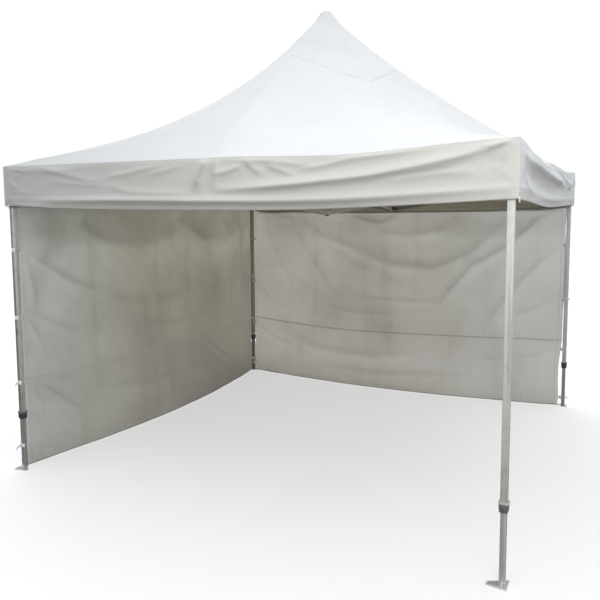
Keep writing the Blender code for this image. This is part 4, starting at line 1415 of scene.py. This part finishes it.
def paintFootLightAndShade(bm, corner):
    # The plate's and the gusset's cut edges and a rim round the plate's top get a painted
    # highlight, and one side of the foot painted shade
    shadeSide(bm, corner, [value * legLine for value in corners[corner]])
    edgeHighlight = bm.faces.layers.float.new("edgeHighlight")
    top = legs["footTop"]
    for face in bm.faces:
        middle = face.calc_center_median()
        rim = abs(face.normal.z) < 0.3 and middle.z < top
        beside = abs(middle.y - corners[corner][1] * legLine) > legs["innerSize"] / 2
        gusset = abs(face.normal.x) > 0.9 and top / 3 < middle.z < legs["gussetTop"] and beside
        face[edgeHighlight] = legs["rimHighlight"] if rim or gusset else 0.0
    tops = [face for face in bm.faces
            if face.normal.z > 0.95 and face.calc_center_median().z < top]
    inset = bmesh.ops.inset_region(bm, faces=tops, thickness=legs["footRim"],
                                   use_even_offset=True, use_boundary=True)
    for face in inset["faces"]:
        face[edgeHighlight] = legs["topHighlight"]


def soften(node, name, material, width, footOf=None):
    # A copy of a solid with its loose triangles joined and its edges rounded
    bm = bmesh.new()
    bm.from_mesh(cadNodes[node].data)
    bmesh.ops.remove_doubles(bm, verts=bm.verts, dist=0.00002)
    bmesh.ops.dissolve_limit(bm, angle_limit=radians(1.5), verts=bm.verts, edges=bm.edges)
    if footOf:
        paintFootLightAndShade(bm, footOf)
    piece = placePiece(name, bm, material, f"leg_{footOf}" if footOf else "tent")
    piece.data.shade_smooth()
    addModifier(piece, "BEVEL", width=width, segments=2, limit_method="ANGLE",
                angle_limit=radians(32), harden_normals=True)
    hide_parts(node)


bevels = {"foot": 0.0010, "plastic": 0.0012, "bar": 0.0016}


def softenPlastic(node, name, plastic):
    soften(node, name, plastics[plastic], bevels["plastic"])


for corner in corners:
    makeLeg(corner)
    makeCollar(corner)
    soften(f"lower_leg_{corner}", f"lowerLegTube_{corner}", steels[legs["lowerSteel"][corner]],
           bevels["foot"], corner)
    softenPlastic(f"top_bracket_{corner}", f"topBracket_{corner}", "black")
    softenPlastic(f"slider_bracket_{corner}", f"sliderBracket_{corner}", "black")
for side in sides:
    softenPlastic(f"mid_connector_upper_{side}", f"upperConnector_{side}", "black")
    softenPlastic(f"mid_connector_lower_{side}", f"lowerConnector_{side}", "shadeBrown")
    # The inner bars get a lighter copy of the steel, as painted light
    soften(f"inner_truss_{side}", f"innerTrussBars_{side}", steels["pale"],
           bevels["bar"])
for node in cadNodes:
    if node.startswith("truss_"):
        name = node.replace("truss_", "trussBars_")
        # The truss bars get a darker copy of the steel, as painted shade
        soften(node, name, steels["deepShaded"], bevels["bar"])
for node, name in (("hub_lower", "hubLower"), ("hub_upper", "hubUpper")):
    softenPlastic(node, name, "grey")
makePole()
print("frame made")


# Small fittings of the cloth: a webbing loop and an eyelet near each corner of the valance

trims = {
    "segments": 10, "steps": 24, "loopAlong": 0.028, "loopUp": -0.004,
    "loop": (0.006, 0.0022, 1.4), "eyeletAlong": 0.016, "eyeletUp": 0.020,
    "eyelet": (0.0055, 0.0016, 1.0), "stand": 0.0008,
}


def makeRing(name, material, slot, place, facing, radius, thick, tall):
    # A small closed ring round the facing direction
    bm = bmesh.new()
    bmesh.ops.create_circle(bm, radius=thick, segments=trims["segments"])
    upright = Matrix.Rotation(pi / 2, 3, "X")
    bmesh.ops.rotate(bm, cent=(0, 0, 0), matrix=upright, verts=bm.verts)
    bmesh.ops.translate(bm, vec=(radius, 0, 0), verts=bm.verts)
    spinRound(bm, trims["steps"])
    turn = facing.to_track_quat("Z", "Y").to_matrix()
    bmesh.ops.rotate(bm, cent=(0, 0, 0), matrix=turn, verts=bm.verts)
    bmesh.ops.scale(bm, vec=(1, 1, tall), verts=bm.verts)
    bmesh.ops.translate(bm, vec=place, verts=bm.verts)
    smoothShade(finishPiece(name, bm, material, "tent"), 1.2)


for side, (outward, run, ends) in sides.items():
    edge = curveThrough(valance["edge"][side], -half)
    base = outward * (half + trims["stand"]) - run * half
    for kind, name, material, slot in (
        ("loop", "webbingLoop", whiteWebbing, "canopy_cloth"),
        ("eyelet", "eyelet", steels["rivet"], "plated_steel"),
    ):
        place = base + run * trims[kind + "Along"] + upDirection * (edge + trims[kind + "Up"])
        makeRing(f"{name}_{side}", material, slot, place, outward, *trims[kind])
print("fittings made")


# Floor, light and camera

stage = {
    "floorHalf": 55.0, "floorLevel": -0.0005, "groundLevel": -0.0025,
    "floorColour": (0.38, 0.38, 0.38), "floorGlow": 0.50, "groundColour": (0.13, 0.125, 0.11),
    "backdropRadius": 60.0, "skyColour": (0.93, 0.965, 1.0), "skyStrength": 1.0,
    # The strength, width in degrees and place of each broad light
    "suns": {
        "top": (0.75, 70.0, (0, 0, 1)), "behind": (1.15, 60.0, (-0.60, 0.75, 0.50)),
        "beside": (0.45, 60.0, (1.0, 0.10, 0.22)),
    },
    "lampColour": (1.0, 0.97, 0.92), "lampPower": 70.0, "lampSize": 2.0,
    "lampPlace": (2.7, -4.4, 2.3), "lampAim": (1.3, -1.4, 1.6),
}


def stagePiece(name, bm, colour, glow):
    mesh = bpy.data.meshes.new(name)
    bm.to_mesh(mesh)
    bm.free()
    material, tree, shader = startMaterial(name, colour, 0.9)
    setInputs(tree, shader, {"Emission Color": (1, 1, 1), "Emission Strength": glow})
    mesh.materials.append(material)
    return addObject(name, mesh)


def stagePlane(name, height, colour, glow):
    bm = bmesh.new()
    bmesh.ops.create_grid(bm, x_segments=1, y_segments=1, size=stage["floorHalf"])
    bmesh.ops.translate(bm, vec=(0, 0, height), verts=bm.verts)
    return stagePiece(name, bm, colour, glow)


def turnFrom(way):
    # A lamp that stands in this direction shines back along it
    return Vector(way).to_track_quat("Z", "Y").to_euler()


def makeStage():
    # The pale floor and the white backdrop are for the camera; a duller ground below the
    # floor lights the tent from below, as paving does
    floor = stagePlane("floor", stage["floorLevel"], stage["floorColour"], stage["floorGlow"])
    ground = stagePlane("ground", stage["groundLevel"], stage["groundColour"], 0.0)
    bm = bmesh.new()
    bmesh.ops.create_icosphere(bm, subdivisions=3, radius=stage["backdropRadius"])
    bmesh.ops.reverse_faces(bm, faces=bm.faces)
    backdrop = stagePiece("backdrop", bm, (0, 0, 0), 1.0)
    for piece in (floor, backdrop):
        piece.visible_diffuse = False
        piece.visible_glossy = False
        piece.visible_transmission = False
        piece.visible_shadow = False

    world = bpy.data.worlds.new("studio")
    bpy.context.scene.world = world
    world.use_nodes = True
    sky = {"Color": stage["skyColour"], "Strength": stage["skyStrength"]}
    setInputs(world.node_tree, world.node_tree.nodes["Background"], sky)

    lamp = bpy.data.lights.new("softLamp", "AREA")
    lamp.color = stage["lampColour"]
    lamp.energy = stage["lampPower"]
    lamp.size = stage["lampSize"]
    key = addObject("softLamp", lamp)
    key.location = stage["lampPlace"]
    key.rotation_euler = turnFrom(Vector(stage["lampPlace"]) - Vector(stage["lampAim"]))
    key.visible_camera = False
    for name, (strength, width, place) in stage["suns"].items():
        light = bpy.data.lights.new(name + "Light", "SUN")
        light.energy = strength
        light.angle = radians(width)
        addObject(name + "Light", light).rotation_euler = turnFrom(place)
    bpy.context.scene.view_settings.view_transform = "Standard"


photoCamera = {
    "place": (1.8750, -4.2791, 1.5882), "yaw": 0.48911, "pitch": -0.09683, "roll": -0.00936,
    "focalPixels": 661.58, "axisPixels": (276.85, 276.83), "imagePixels": 600, "sensor": 36.0,
}


def makeCamera():
    yaw, pitch, roll = photoCamera["yaw"], photoCamera["pitch"], photoCamera["roll"]
    forward = Vector((-sin(yaw) * cos(pitch), cos(yaw) * cos(pitch), sin(pitch)))
    level = Vector((cos(yaw), sin(yaw), 0))
    above = level.cross(forward)
    across = level * cos(roll) + above * sin(roll)
    upright = above * cos(roll) - level * sin(roll)
    size = photoCamera["imagePixels"]
    lens = bpy.data.cameras.new("photoCamera")
    lens.sensor_width = photoCamera["sensor"]
    lens.lens = photoCamera["focalPixels"] * photoCamera["sensor"] / size
    lens.shift_x = (size / 2 - photoCamera["axisPixels"][0]) / size
    lens.shift_y = (photoCamera["axisPixels"][1] - size / 2) / size
    lens.clip_end = 200.0
    view = addObject("photoCamera", lens)
    turn = Matrix((across, upright, -forward)).transposed().to_4x4()
    view.matrix_world = Matrix.Translation(photoCamera["place"]) @ turn
    bpy.context.scene.camera = view


makeStage()
makeCamera()
print("stage and camera made")
